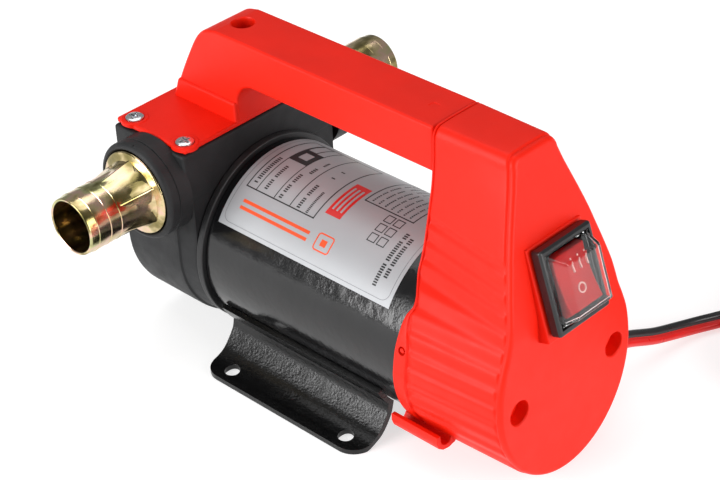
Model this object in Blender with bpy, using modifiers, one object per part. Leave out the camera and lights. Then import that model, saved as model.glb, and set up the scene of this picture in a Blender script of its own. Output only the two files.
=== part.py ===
"""A 24 V fluid transfer pump: vane pump head, tube motor, carrying handle, end cap with switch, and lead.

Lengths are in metres. The pump is drawn about its motor axis: +X runs from the pump head to the end cap,
-Y is the inlet side, +Y the outlet side and +Z is up. PUMP_FRAME then lifts it onto its feet.
"""

import math

import bmesh
import bpy
from mathutils import Matrix, Vector

CLEAR = 0.0003  # gap between neighbouring pieces

# Motor and pump head
AXIS_Z = 0.0443  # height of the motor axis over the ground
GROUND = -AXIS_Z
TUBE_R, TUBE_WALL = 0.0400, 0.0024
TUBE_START, TUBE_END = 0.0176, 0.1400
RIM_R = 0.0421
HEAD_R = 0.0433  # round lower half of the pump body
HEAD_FRONT, HEAD_BACK = -0.0280, 0.0137
BLOCK_TOP, BLOCK_LOW = 0.0528, 0.0300
COVER_FRONT = -0.0290
CAP_FRONT = 0.1775
SWITCH_TIP = 0.1888
MID_X = (COVER_FRONT + SWITCH_TIP) / 2

# Vane chamber, eccentric below the shaft
ROTOR_R, CHAMBER_R, ECCENTRIC = 0.0235, 0.0270, 0.0030
CHAMBER_FRONT, CHAMBER_BACK = -0.0232, 0.0075
VANES, VANE_THICK = 4, 0.0030
SHAFT_R = 0.0040

# Ports
PORT_X, PORT_Z = -0.0047, 0.0345
BOSS_R, BOSS_END = 0.0213, 0.0548
FLANGE_R = 0.0182
BARB_R, BARB_BORE, BARB_TIP = 0.01275, 0.0113, 0.0886

# Screw places
COVER_SCREW_R = 0.0358
COVER_SCREW_ANGLES = [30 + 60 * i for i in range(6)]
PLATE_SCREWS = [(x, y) for x in (-0.0213, 0.0090) for y in (-0.0377, 0.0377)]

# Feet
FOOT_X = (0.0225, 0.1115)
FOOT_HOLES_X = (0.0342, 0.0999)

# Handle and its plate
PLATE_X = (-0.0277, 0.0137)
PLATE_Y, PLATE_LOW, PLATE_TOP = 0.0420, 0.0531, 0.0555
GRIP_TOP, GRIP_UNDER, GRIP_HALF = 0.0933, 0.0738, 0.0128
GRIP_END = 0.1207

# End cap
CAP_REAR, CAP_R, CAP_WALL = 0.1210, 0.0425, 0.0019
CAP_TOP = 0.0944
SLOPE = math.radians(17.8)  # how far the switch leans back
LEAN, UPPER_LEAN, LEAN_BREAK = 0.050, 0.250, 0.0330  # the cap's front leans back, more above the break
SCREW_Y, SCREW_Z = 0.0282, -0.0018

COLOURS = {
    "cast_black": ((0.035, 0.036, 0.038), 0.55, 0.2),
    "gloss_black": ((0.018, 0.018, 0.019), 0.25, 0.3),
    "red_plastic": ((0.80, 0.030, 0.018), 0.42, 0.0),
    "yellow_zinc": ((0.78, 0.66, 0.36), 0.22, 1.0),
    "zinc": ((0.72, 0.73, 0.75), 0.28, 1.0),
    "steel": ((0.55, 0.56, 0.58), 0.35, 1.0),
    "laminations": ((0.30, 0.30, 0.32), 0.5, 1.0),
    "copper": ((0.72, 0.34, 0.18), 0.35, 1.0),
    "brass": ((0.70, 0.52, 0.25), 0.3, 1.0),
    "rubber": ((0.02, 0.02, 0.02), 0.8, 0.0),
    "carbon": ((0.05, 0.05, 0.055), 0.6, 0.1),
    "ferrite": ((0.09, 0.09, 0.10), 0.7, 0.0),
    "resin": ((0.35, 0.20, 0.10), 0.55, 0.0),
    "black_plastic": ((0.02, 0.021, 0.022), 0.4, 0.0),
    "clear": ((0.85, 0.87, 0.88), 0.08, 0.0),
    "lead_skin": ((0.45, 0.02, 0.02), 0.4, 0.0),
}


# ---------------------------------------------------------------- scene and helpers


def clear_scene():
    for obj in list(bpy.data.objects):
        bpy.data.objects.remove(obj, do_unlink=True)


def new_collection(name):
    made = bpy.data.collections.new(name)
    bpy.context.scene.collection.children.link(made)
    return made


def material(name):
    found = bpy.data.materials.get(name)
    if found:
        return found
    colour, roughness, metallic = COLOURS[name]
    made = bpy.data.materials.new(name)
    made.use_nodes = True
    shader = made.node_tree.nodes["Principled BSDF"]
    shader.inputs["Base Color"].default_value = (*colour, 1.0)
    shader.inputs["Roughness"].default_value = roughness
    shader.inputs["Metallic"].default_value = metallic
    made.diffuse_color = (*colour, 1.0)
    return made


clear_scene()
PARTS = new_collection("fluid_transfer_pump")
CUTTERS = new_collection("cutters")

PUMP_FRAME = bpy.data.objects.new("pump_frame", None)
PUMP_FRAME.location = (-MID_X, 0.0, AXIS_Z)
PARTS.objects.link(PUMP_FRAME)

SWITCH_FRAME = bpy.data.objects.new("switch_frame", None)
SWITCH_FRAME.parent = PUMP_FRAME
SWITCH_FRAME.location = (0.1732, 0.0, 0.0433)
SWITCH_FRAME.rotation_euler = (
    Matrix(((0, -math.sin(SLOPE), math.cos(SLOPE)), (1, 0, 0), (0, math.cos(SLOPE), math.sin(SLOPE))))
    .to_euler()
)
PARTS.objects.link(SWITCH_FRAME)


def place(name, mesh, finish, at=(0, 0, 0), turn=(0, 0, 0), parent=None):
    """A node of the pump, or a tool that cuts or joins one where finish is None."""
    obj = bpy.data.objects.new(name, mesh)
    obj.parent = parent or PUMP_FRAME
    obj.location = at
    obj.rotation_euler = turn
    if finish is None:
        CUTTERS.objects.link(obj)
        obj.hide_render = True
        obj.display_type = "WIRE"
    else:
        PARTS.objects.link(obj)
        mesh.materials.append(material(finish))
    return obj


def smooth(mesh, degrees=35):
    mesh.shade_smooth()
    mesh.set_sharp_from_angle(angle=math.radians(degrees))


def mesh_of(name, bm):
    bmesh.ops.recalc_face_normals(bm, faces=bm.faces)
    mesh = bpy.data.meshes.new(name)
    bm.to_mesh(mesh)
    bm.free()
    return mesh


def box(name, low, high, finish=None, bevel=0.0, steps=2, **where):
    bm = bmesh.new()
    bmesh.ops.create_cube(bm, size=1.0)
    low, high = Vector(low), Vector(high)
    for vert in bm.verts:
        vert.co = Vector(
            (low[i] + high[i]) / 2 + vert.co[i] * (high[i] - low[i]) for i in range(3)
        )
    obj = place(name, mesh_of(name, bm), finish, **where)
    if bevel:
        soften(obj, bevel, steps)
    return obj


def soften(obj, width, steps=2, degrees=40):
    bevel = obj.modifiers.new("Edges", "BEVEL")
    bevel.width = width
    bevel.segments = steps
    bevel.limit_method = "ANGLE"
    bevel.angle_limit = math.radians(degrees)
    return bevel


TURNS = {
    "X": (0.0, math.pi / 2, 0.0),
    "Y": (-math.pi / 2, 0.0, 0.0),
    "-Y": (math.pi / 2, 0.0, 0.0),
    "Z": (0.0, 0.0, 0.0),
}


def turned(name, profile, finish=None, axis="X", steps=48, ring=False, at=(0, 0, 0), parent=None):
    """A turned piece. profile holds (along, radius) points with along rising down its outer side.

    A ring's profile is closed: it goes on with the points of its inner side, along falling.
    """
    points = [(radius, 0.0, along) for along, radius in profile]
    if not ring:
        points = [(0.0, 0.0, profile[0][0])] + points + [(0.0, 0.0, profile[-1][0])]
    points.reverse()
    edges = [(i, i + 1) for i in range(len(points) - 1)]
    if ring:
        edges.append((len(points) - 1, 0))
    mesh = bpy.data.meshes.new(name)
    mesh.from_pydata(points, edges, [])
    obj = place(name, mesh, finish, at=at, turn=TURNS[axis], parent=parent)
    screw = obj.modifiers.new("Turn", "SCREW")
    screw.steps = screw.render_steps = steps
    screw.use_merge_vertices = True
    screw.merge_threshold = 0.00001
    screw.use_smooth_shade = True
    return obj


def rod(name, start, end, radius, finish=None, axis="X", steps=24, chamfer=0.0, at=(0, 0, 0), **more):
    """A plain round rod between two places along an axis."""
    if chamfer:
        c = chamfer
        profile = [(start, radius - c), (start + c, radius), (end - c, radius), (end, radius - c)]
        return turned(name, profile, finish, axis, steps, at=at, **more)
    bm = bmesh.new()
    bmesh.ops.create_cone(
        bm, cap_ends=True, segments=steps, radius1=radius, radius2=radius, depth=end - start,
        matrix=Matrix.Translation((0, 0, (start + end) / 2)),
    )
    mesh = mesh_of(name, bm)
    smooth(mesh)
    return place(name, mesh, finish, at=at, turn=TURNS[axis], **more)


def washer(name, start, end, inner, outer, finish=None, axis="X", steps=48, at=(0, 0, 0), **more):
    profile = [(start, outer), (end, outer), (end, inner), (start, inner)]
    return turned(name, profile, finish, axis, steps, ring=True, at=at, **more)


def prism(name, outline, start, end, finish=None, axis="X", **where):
    """A flat outline pushed along an axis. The outline holds (Y, Z) points for X, (X, Z) points for Y."""
    bm = bmesh.new()
    spot = (lambda a, b, s: (s, a, b)) if axis == "X" else (lambda a, b, s: (a, s, b))
    if axis == "Z":
        spot = lambda a, b, s: (a, b, s)
    face = bm.faces.new([bm.verts.new(spot(a, b, start)) for a, b in outline])
    pushed = bmesh.ops.extrude_face_region(bm, geom=[face])
    step = Vector(spot(0.0, 0.0, end - start))
    bmesh.ops.translate(bm, vec=step, verts=[v for v in pushed["geom"] if isinstance(v, bmesh.types.BMVert)])
    return place(name, mesh_of(name, bm), finish, **where)


def boolean(obj, operation, tools):
    for tool in tools:
        modifier = obj.modifiers.new(operation.title(), "BOOLEAN")
        modifier.operation = operation
        modifier.solver = "EXACT"
        modifier.object = tool
    return obj


def cut(obj, *tools):
    return boolean(obj, "DIFFERENCE", tools)


def join(obj, *tools):
    return boolean(obj, "UNION", tools)


def arc(centre, radius, start, end, steps):
    """Points of an arc in a plane, with angles in degrees, both ends included."""
    return [
        (
            centre[0] + radius * math.cos(math.radians(start + (end - start) * i / steps)),
            centre[1] + radius * math.sin(math.radians(start + (end - start) * i / steps)),
        )
        for i in range(steps + 1)
    ]


def wire(name, points, radius, finish, resolution=2, **where):
    curve = bpy.data.curves.new(name, "CURVE")
    curve.dimensions = "3D"
    curve.bevel_depth = radius
    curve.bevel_resolution = resolution
    curve.use_fill_caps = True
    line = curve.splines.new("POLY")
    line.points.add(len(points) - 1)
    for point, co in zip(line.points, points):
        point.co = (*co, 1.0)
    obj = place(name, curve, finish, **where)
    return obj


def spring(name, low, high, radius, wire_r, turns, at, finish="steel", per_turn=7):
    """A helical compression spring standing on at, with both its ends plain."""
    count = turns * per_turn
    points = []
    for i in range(count + 1):
        angle = 2 * math.pi * i / per_turn
        height = low + wire_r + (high - low - 2 * wire_r) * i / count
        points.append((radius * math.cos(angle), radius * math.sin(angle), height))
    return wire(name, points, wire_r, finish, resolution=1, at=at)


def blend(table, z):
    """Straight-line interpolation in a table of (height, value) points."""
    if z <= table[0][0]:
        return table[0][1]
    for (z0, v0), (z1, v1) in zip(table, table[1:]):
        if z <= z1:
            return v0 + (v1 - v0) * (z - z0) / (z1 - z0)
    return table[-1][1]


# ---------------------------------------------------------------- pump head


def head_outline(radius, top, steps=16):
    """The pump body's lower half: a half circle below and straight sides above."""
    return arc((0, 0), radius, 180, 360, steps) + [(radius, top), (-radius, top)]


def make_pump_body():
    sections = [
        (HEAD_FRONT, HEAD_R - 0.0012),
        (HEAD_FRONT + 0.0014, HEAD_R),
        (0.0030, HEAD_R),
        (HEAD_BACK - 0.0020, 0.0409),
        (HEAD_BACK, 0.0402),
    ]
    bm = bmesh.new()
    rings = []
    for x, radius in sections:
        rings.append([bm.verts.new((x, y, z)) for y, z in head_outline(radius, 0.0370)])
    for a, b in zip(rings, rings[1:]):
        for i in range(len(a)):
            j = (i + 1) % len(a)
            bm.faces.new((a[i], a[j], b[j], b[i]))
    bm.faces.new(rings[0])
    bm.faces.new(rings[-1])
    mesh = mesh_of("pump_body", bm)
    smooth(mesh)
    body = place("pump_body", mesh, "cast_black")
    block = box(
        "body_block", (HEAD_FRONT - 0.0002, -0.0436, BLOCK_LOW), (HEAD_BACK + 0.0002, 0.0436, BLOCK_TOP),
        bevel=0.0014,
    )
    join(body, block)
    for axis in ("Y", "-Y"):
        join(body, turned(
            "body_boss",
            [
                (PLATE_Y + 0.0005, BOSS_R), (BOSS_END - 0.0040, BOSS_R), (BOSS_END - 0.0012, BOSS_R - 0.0004),
                (BOSS_END, BOSS_R - 0.0016),
            ],
            axis=axis, steps=32, at=(PORT_X, 0, PORT_Z),
        ))

    chamber = rod(
        "chamber_tool", HEAD_FRONT - 0.002, CHAMBER_BACK + CLEAR, CHAMBER_R, at=(0, 0, -ECCENTRIC), steps=32
    )
    recess = rod("cover_recess_tool", HEAD_FRONT - 0.002, CHAMBER_FRONT, 0.0395, steps=32)
    shaft_way = rod("shaft_bore_tool", 0.0, HEAD_BACK + 0.002, 0.0056, steps=16)
    seal_way = rod("seal_bore_tool", 0.0092, HEAD_BACK + 0.002, 0.0098, steps=20)
    groove = washer(
        "seal_groove_tool", CHAMBER_FRONT - 0.001, CHAMBER_FRONT + 0.0019, 0.0281, 0.0311,
        at=(0, 0, -ECCENTRIC), steps=24,
    )
    cut(body, chamber, recess, shaft_way, seal_way, groove)
    for side, turn in (("inlet", "-Y"), ("outlet", "Y")):
        port = turned(
            f"{side}_port_tool",
            [
                (0.0100, 0.0128), (0.0477, 0.0128), (0.0477, 0.0158), (0.0495, 0.0158),
                (0.0495, FLANGE_R + 0.0005), (BOSS_END + 0.002, FLANGE_R + 0.0005),
            ],
            axis=turn, steps=24, at=(PORT_X, 0, PORT_Z),
        )
        window_y = (-0.0185, -0.0105) if side == "inlet" else (0.0105, 0.0185)
        window = box(f"{side}_window_tool", (-0.0150, window_y[0], 0.0100), (0.0040, window_y[1], PORT_Z))
        cut(body, port, window)
    valve_bore = rod("valve_bore_tool", 0.0360, BLOCK_TOP + 0.002, 0.0052, axis="Z", at=(PORT_X, 0, 0), steps=16)
    valve_throat = rod("valve_throat_tool", 0.0310, 0.0380, 0.0030, axis="Z", at=(PORT_X, 0, 0), steps=10)
    feed = rod("valve_feed_tool", 0.0, 0.0130, 0.0022, axis="Y", at=(PORT_X, 0, 0.0332), steps=8)
    relief = rod("valve_relief_tool", 0.0, 0.0130, 0.0022, axis="-Y", at=(PORT_X, 0, 0.0400), steps=8)
    cut(body, valve_bore, valve_throat, feed, relief)
    for angle in COVER_SCREW_ANGLES:
        y, z = on_circle(COVER_SCREW_R, angle)
        cut(body, rod("cover_tap_tool", -0.0260, -0.0120, 0.0018, at=(0, y, z), steps=8))
    for x, y in PLATE_SCREWS:
        low, high = BLOCK_TOP - 0.0110, BLOCK_TOP + 0.002
        cut(body, rod("plate_tap_tool", low, high, 0.0020, axis="Z", at=(x, y, 0), steps=8))
    return body


def on_circle(radius, degrees):
    return radius * math.cos(math.radians(degrees)), radius * math.sin(math.radians(degrees))


def make_pump_cover():
    cover = turned(
        "pump_cover",
        [(COVER_FRONT, 0.0378), (COVER_FRONT + 0.0010, 0.0390), (CHAMBER_FRONT - CLEAR, 0.0390)],
        "cast_black", steps=32,
    )
    cut(cover, rod("cover_hub_tool", CHAMBER_FRONT - 0.0030, CHAMBER_FRONT, SHAFT_R + 0.0006, steps=20))
    for i, angle in enumerate(COVER_SCREW_ANGLES):
        y, z = on_circle(COVER_SCREW_R, angle)
        cut(cover, rod("cover_hole_tool", -0.0300, -0.0200, 0.0019, at=(0, y, z), steps=8))
        cut(cover, rod("cover_sink_tool", -0.0300, -0.0268, 0.0034, at=(0, y, z), steps=10))
        screw = turned(
            f"cover_screw_{i + 1}",
            [
                (COVER_FRONT, 0.0022), (-0.0286, 0.0030), (-0.0271, 0.0030), (-0.0271, 0.0015),
                (-0.0130, 0.0015), (-0.0125, 0.0010),
            ],
            "zinc", steps=10, at=(0, y, z),
        )
        cut(screw, prism("hex_key_tool", arc((0, 0), 0.0015, 0, 300, 5), -0.0300, -0.0279, at=(0, y, z)))
    turned(
        "cover_seal",
        [(CHAMBER_FRONT + 0.0010 + a, 0.0296 + b) for a, b in arc((0, 0), 0.0010, 90, -210, 5)],
        "rubber", steps=24, ring=True, at=(0, 0, -ECCENTRIC),
    )
    return cover


def make_rotor():
    front, back = CHAMBER_FRONT + CLEAR, CHAMBER_BACK - CLEAR
    rotor = rod("rotor", front, back, ROTOR_R, "steel", steps=40)
    cut(rotor, rod("rotor_bore_tool", front - 0.001, back + 0.001, SHAFT_R + CLEAR, steps=16))
    depth = 0.0120
    slot_half = VANE_THICK / 2 + CLEAR
    for i in range(VANES):
        turn = (2 * math.pi * (i + 0.5) / VANES, 0, 0)
        slot = box(
            "vane_slot_tool", (front - 0.001, -slot_half, ROTOR_R - depth), (back + 0.001, slot_half, ROTOR_R + 0.002),
            turn=turn,
        )
        cut(rotor, slot)
        box(
            f"vane_{i + 1}",
            (front, -VANE_THICK / 2, ROTOR_R - depth + CLEAR),
            (back, VANE_THICK / 2, ROTOR_R - 0.0001),
            "carbon", turn=turn,
        )
    return rotor


def make_port_fitting(side, axis):
    """A hose tail: threaded root, flange, a hexagon that fades into a round tail with three shallow barbs."""
    at = (PORT_X, 0, PORT_Z)
    name = f"{side}_barb"
    ridges = [0.0727, 0.0782, 0.0843]
    profile = [(0.0330, 0.0124), (0.0498, 0.0124), (0.0500, FLANGE_R), (0.0549, FLANGE_R)]
    profile += [(0.0556, FLANGE_R - 0.0007), (0.0566, 0.0158), (0.0600, 0.0131)]
    for ridge in ridges:
        profile += [(ridge - 0.0003, BARB_R + 0.0002), (ridge, BARB_R - 0.0004)]
    profile += [(BARB_TIP, BARB_R - 0.0006)]
    profile += [(BARB_TIP - 0.0003, BARB_BORE), (0.0330, BARB_BORE - 0.0006)]
    barb = turned(name, profile, "yellow_zinc", axis, steps=28, ring=True, at=at)
    sections = [(0.0552, 0.0158), (0.0590, 0.0152), (0.0720, 0.0128)]
    bm = bmesh.new()
    rings = []
    for along, radius in sections:
        corners = arc((0, 0), radius, 30, 330, 5)
        rings.append([bm.verts.new((x, y, along)) for x, y in corners])
    for a, b in zip(rings, rings[1:]):
        for i in range(6):
            bm.faces.new((a[i], a[(i + 1) % 6], b[(i + 1) % 6], b[i]))
    bm.faces.new(rings[0])
    bm.faces.new(rings[-1])
    hexagon = place(f"{side}_hexagon", mesh_of("hexagon", bm), None, at=at, turn=TURNS[axis])
    join(barb, hexagon)
    cut(barb, rod(f"{side}_tail_bore_tool", 0.0300, 0.0860, 0.0106, axis=axis, steps=28, at=at))
    turned(
        f"{side}_port_seal",
        [(0.0487 + a, 0.0148 + b) for a, b in arc((0, 0), 0.0007, 90, -210, 5)],
        "rubber", axis, steps=20, ring=True, at=at,
    )
    return barb


def make_strainer():
    """A short mesh thimble that slides into the inlet bore."""
    strainer = turned(
        "inlet_strainer",
        [
            (0.0140, 0.0100), (0.0240, 0.0100), (0.0320, 0.0106), (0.0320, 0.0122), (0.0326, 0.0122),
            (0.0326, 0.0098), (0.0240, 0.0092), (0.0148, 0.0092),
        ],
        "steel", "-Y", steps=20, at=(PORT_X, 0, PORT_Z), ring=True,
    )
    return strainer


def make_bypass_valve():
    at = (PORT_X, 0, 0)
    turned(
        "bypass_poppet",
        [(0.0363, 0.0020), (0.0375, 0.0047), (0.0412, 0.0047), (0.0412, 0.0022), (0.0430, 0.0018)],
        "steel", "Z", steps=14, at=at,
    )
    spring("bypass_spring", 0.0415, 0.0478, 0.0034, 0.00045, 4, at)
    plug = rod("bypass_plug", 0.0481, 0.0524, 0.0048, "steel", "Z", chamfer=0.0004, at=at)
    cut(plug, box("plug_slot_tool", (-0.006, -0.0006, 0.0512), (0.006, 0.0006, 0.054), at=at))
    return plug


# ---------------------------------------------------------------- motor

MAGNET_X = (0.0340, 0.1060)
CORE_X = (0.0400, 0.0980)
COMMUTATOR_X = (0.1085, 0.1270)
BOLT_Y, BOLT_Z = 0.0073, 0.0344
BRUSH_X = (0.1130, 0.1230)


def make_motor_case():
    bell = turned(
        "front_end_bell",
        [
            (HEAD_BACK + CLEAR, RIM_R - 0.0006), (0.0144, RIM_R), (0.0168, RIM_R), (0.0173, RIM_R - 0.0005),
            (0.0173, 0.0372), (0.0230, 0.0372), (0.0230, 0.0098), (HEAD_BACK + CLEAR, 0.0098),
        ],
        "gloss_black", steps=40, ring=True,
    )
    washer("shaft_seal", 0.0095, 0.0134, SHAFT_R + CLEAR, 0.0094, "rubber", steps=20)
    washer("front_bearing", 0.0145, 0.0215, SHAFT_R + CLEAR, 0.0095, "steel", steps=24)
    tube = washer("motor_tube", TUBE_START, TUBE_END, TUBE_R - TUBE_WALL, TUBE_R, "gloss_black", steps=56)
    rear = turned(
        "rear_end_bell",
        [
            (0.1345, 0.0370), (TUBE_END + CLEAR, 0.0370), (TUBE_END + CLEAR, TUBE_R - 0.0003),
            (0.1455, TUBE_R - 0.0003), (0.1461, TUBE_R - 0.0010), (0.1461, 0.0100), (0.1345, 0.0100),
        ],
        "gloss_black", steps=40, ring=True,
    )
    for sign in (-1, 1):
        cut(rear, rod("cap_tap_tool", 0.1390, 0.1480, 0.0019, at=(0, sign * SCREW_Y, SCREW_Z), steps=12))
        y, z = sign * BOLT_Y, sign * BOLT_Z
        cut(rear, rod("bolt_way_tool", 0.1300, 0.1480, 0.0021, at=(0, y, z), steps=8))
        cut(rear, rod("bolt_sink_tool", 0.1432, 0.1480, 0.0036, at=(0, y, z), steps=12))
        cut(bell, rod("bolt_tap_tool", 0.0170, 0.0250, 0.0021, at=(0, y, z), steps=8))
        turned(
            f"through_bolt_{'upper' if sign > 0 else 'lower'}",
            [(0.0185, 0.0013), (0.0190, 0.0018), (0.1436, 0.0018), (0.1436, 0.0032), (0.1456, 0.0032), (0.1460, 0.0026)],
            "zinc", steps=10, at=(0, y, z),
        )
    washer("rear_bearing", 0.1355, 0.1420, SHAFT_R + CLEAR, 0.0097, "steel", steps=24)
    return tube


def make_armature():
    rod("motor_shaft", CHAMBER_FRONT - 0.0022, 0.1440, SHAFT_R, "steel", steps=24, chamfer=0.0005)
    core = rod("armature_core", CORE_X[0], CORE_X[1], 0.0285, "laminations", steps=50)
    cut(core, rod("core_bore_tool", 0.030, 0.110, SHAFT_R + CLEAR, steps=16))
    windings = turned(
        "armature_windings",
        [
            (CORE_X[0] - 0.0085, 0.0180), (CORE_X[0] - 0.0070, 0.0235), (CORE_X[0] - 0.0010, 0.0250),
            (CORE_X[0] - 0.0010, 0.0130), (CORE_X[0] - 0.0085, 0.0130),
        ],
        "copper", steps=20, ring=True,
    )
    far_end = turned(
        "winding_far_end",
        [
            (CORE_X[1] + 0.0010, 0.0250), (CORE_X[1] + 0.0070, 0.0235), (CORE_X[1] + 0.0085, 0.0180),
            (CORE_X[1] + 0.0085, 0.0130), (CORE_X[1] + 0.0010, 0.0130),
        ],
        steps=20, ring=True,
    )
    join(windings, far_end)
    slots = 10
    for i in range(slots):
        turn = (2 * math.pi * i / slots, 0, 0)
        half = 0.0027
        cut(core, box(
            "core_slot_tool", (CORE_X[0] - 0.002, -half, 0.0160), (CORE_X[1] + 0.002, half, 0.0300), turn=turn,
        ))
        join(windings, box(
            "slot_coil_tool", (CORE_X[0] - 0.0040, -half + 0.0004, 0.0165), (CORE_X[1] + 0.0040, half - 0.0004, 0.0240),
            turn=turn,
        ))
    commutator = rod("commutator", COMMUTATOR_X[0], COMMUTATOR_X[1], 0.0120, "copper", steps=30)
    cut(commutator, rod("commutator_bore_tool", 0.100, 0.130, SHAFT_R + CLEAR, steps=16))
    segments = 15
    for i in range(segments):
        turn = (2 * math.pi * (i + 0.5) / segments, 0, 0)
        cut(commutator, box("segment_gap_tool", (0.1070, -0.0003, 0.0113), (0.1280, 0.0003, 0.0130), turn=turn))
    return core


def make_magnets():
    for name, start in (("magnet_inlet_side", 120), ("magnet_outlet_side", -60)):
        outline = arc((0, 0), 0.0371, start, start + 120, 14) + arc((0, 0), 0.0298, start + 120, start, 14)
        prism(name, outline, MAGNET_X[0], MAGNET_X[1], "ferrite")


def make_brush_gear():
    plate = washer("brush_plate", 0.1280, 0.1310, 0.0150, 0.0366, "resin", steps=32)
    for sign in (-1, 1):
        turn = (0 if sign > 0 else math.pi, 0, 0)
        holder = box("brush_holder_tool", (BRUSH_X[0] - 0.0018, -0.0068, 0.0160), (0.1290, 0.0068, 0.0312), turn=turn)
        join(plate, holder)
        y, z = sign * BOLT_Y, sign * BOLT_Z
        cut(plate, rod("bolt_pass_tool", 0.1260, 0.1330, 0.0023, at=(0, y, z), steps=8))
    for sign, name in ((1, "upper"), (-1, "lower")):
        turn = (0 if sign > 0 else math.pi, 0, 0)
        cut(plate, box(
            "brush_way_tool",
            (BRUSH_X[0] - CLEAR, -0.0050 - CLEAR, 0.0140), (BRUSH_X[1] + CLEAR, 0.0050 + CLEAR, 0.0300),
            turn=turn,
        ))
        box(f"brush_{name}", (BRUSH_X[0], -0.0050, 0.0124), (BRUSH_X[1], 0.0050, 0.0215), "carbon", turn=turn)
        middle = (BRUSH_X[0] + BRUSH_X[1]) / 2
        low, high = (0.0218, 0.0297) if sign > 0 else (-0.0297, -0.0218)
        spring(f"brush_spring_{name}", low, high, 0.0034, 0.00045, 4, (middle, 0, 0))
    return plate


# ---------------------------------------------------------------- feet


def make_foot(side):
    """A pressed steel wing: it hugs the tube's lower side, then flares out into a flat foot with two holes."""
    sign = -1 if side == "inlet" else 1
    thick = 0.0022
    ground = GROUND
    hug = arc((0, 0), TUBE_R + CLEAR, 207, 224, 5)
    outer = arc((0, 0), TUBE_R + CLEAR + thick, 207, 221, 4)
    flare = [(-0.0329, -0.0318), (-0.0358, -0.0362), (-0.0389, -0.0396), (-0.0425, -0.0415), (-0.0460, ground + thick)]
    under = [(-0.0445, ground), (-0.0398, -0.0427), (-0.0362, -0.0408), (-0.0326, -0.0368), (-0.0303, -0.0327)]
    outline = outer + flare + [(-0.0521, ground + thick), (-0.0521, ground)] + under + hug[::-1]
    outline = [(sign * -y, z) for y, z in outline]
    foot = prism(f"foot_{side}", outline, FOOT_X[0], FOOT_X[1], "gloss_black")
    for x in FOOT_HOLES_X:
        at = (x, sign * 0.0453, 0)
        cut(foot, rod("foot_hole_tool", ground - 0.002, ground + 0.006, 0.0033, axis="Z", at=at, steps=16))
    for x, way in ((FOOT_X[0], 1), (FOOT_X[1], -1)):
        radius = 0.0090
        centre = (x + way * radius, sign * (0.0521 - radius))
        corner = [(x - way * 0.002, sign * 0.0545), (centre[0], sign * 0.0545)]
        quarter = arc((0, 0), 1.0, 0, 90, 5)
        corner += [(centre[0] - way * radius * b, centre[1] + sign * radius * a) for a, b in quarter]
        corner += [(x - way * 0.002, centre[1])]
        cut(foot, prism("foot_corner_tool", corner, ground - 0.002, ground + 0.004, axis="Z"))
    return foot


# ---------------------------------------------------------------- handle


def make_handle():
    """Plate, raked front leg and straight grip in one moulding."""
    leg_back = PLATE_X[1]
    side = [
        (-0.0238, PLATE_TOP - 0.0012), (-0.0200, 0.0650), (-0.0125, 0.0796), (-0.0078, 0.0872), (-0.0030, 0.0915),
        (0.0035, GRIP_TOP), (GRIP_END, GRIP_TOP), (GRIP_END, GRIP_UNDER),
    ]
    side += [(x, z) for x, z in arc((leg_back + 0.0105, GRIP_UNDER - 0.0105), 0.0105, 90, 180, 6)]
    side += [(leg_back, PLATE_TOP - 0.0012)]
    handle = prism("handle", side, -GRIP_HALF, GRIP_HALF, "red_plastic", axis="Y")
    soften(handle, 0.0034, 2, degrees=50)
    plate = box("handle_plate", (PLATE_X[0], -PLATE_Y, PLATE_LOW), (PLATE_X[1], PLATE_Y, PLATE_TOP), bevel=0.0008)
    foot = prism(
        "handle_leg_foot",
        [(-0.0242, 0.0540), (-0.0205, 0.0642), (leg_back - 0.0002, 0.0642), (leg_back - 0.0002, 0.0540)],
        -0.0140, 0.0140, axis="Y",
    )
    soften(foot, 0.0012, 2)
    tenon = box("handle_tenon", (GRIP_END - 0.004, -0.0100, 0.0766), (0.1290, 0.0100, 0.0904), bevel=0.001)
    join(handle, plate, foot, tenon)
    cut(handle, rod("grip_recess_tool", 0.0800, GRIP_TOP + 0.002, 0.0048, axis="Z", at=(0.0070, 0, 0), steps=20))
    for i, (x, y) in enumerate(PLATE_SCREWS):
        cut(handle, rod("plate_hole_tool", 0.0500, 0.0600, 0.0024, axis="Z", at=(x, y, 0), steps=10))
        cut(handle, turned(
            "plate_sink_tool", [(0.0538, 0.0022), (PLATE_TOP + 0.0003, 0.0042), (PLATE_TOP + 0.002, 0.0042)],
            axis="Z", steps=16, at=(x, y, 0),
        ))
        screw = turned(
            f"handle_screw_{i + 1}",
            [
                (BLOCK_TOP - 0.0100, 0.0012), (BLOCK_TOP - 0.0095, 0.0016), (0.0541, 0.0016),
                (PLATE_TOP + 0.0001, 0.0037), (PLATE_TOP + 0.0007, 0.0029), (PLATE_TOP + 0.0010, 0.0016),
            ],
            "zinc", "Z", steps=12, at=(x, y, 0),
        )
        for turn in (0.4, 0.4 + math.pi / 2):
            cut(screw, box(
                "cross_tool", (-0.0021, -0.00035, PLATE_TOP - 0.0006), (0.0021, 0.00035, PLATE_TOP + 0.003),
                at=(x, y, 0), turn=(0, 0, turn),
            ))
    return handle


# ---------------------------------------------------------------- end cap

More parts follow.
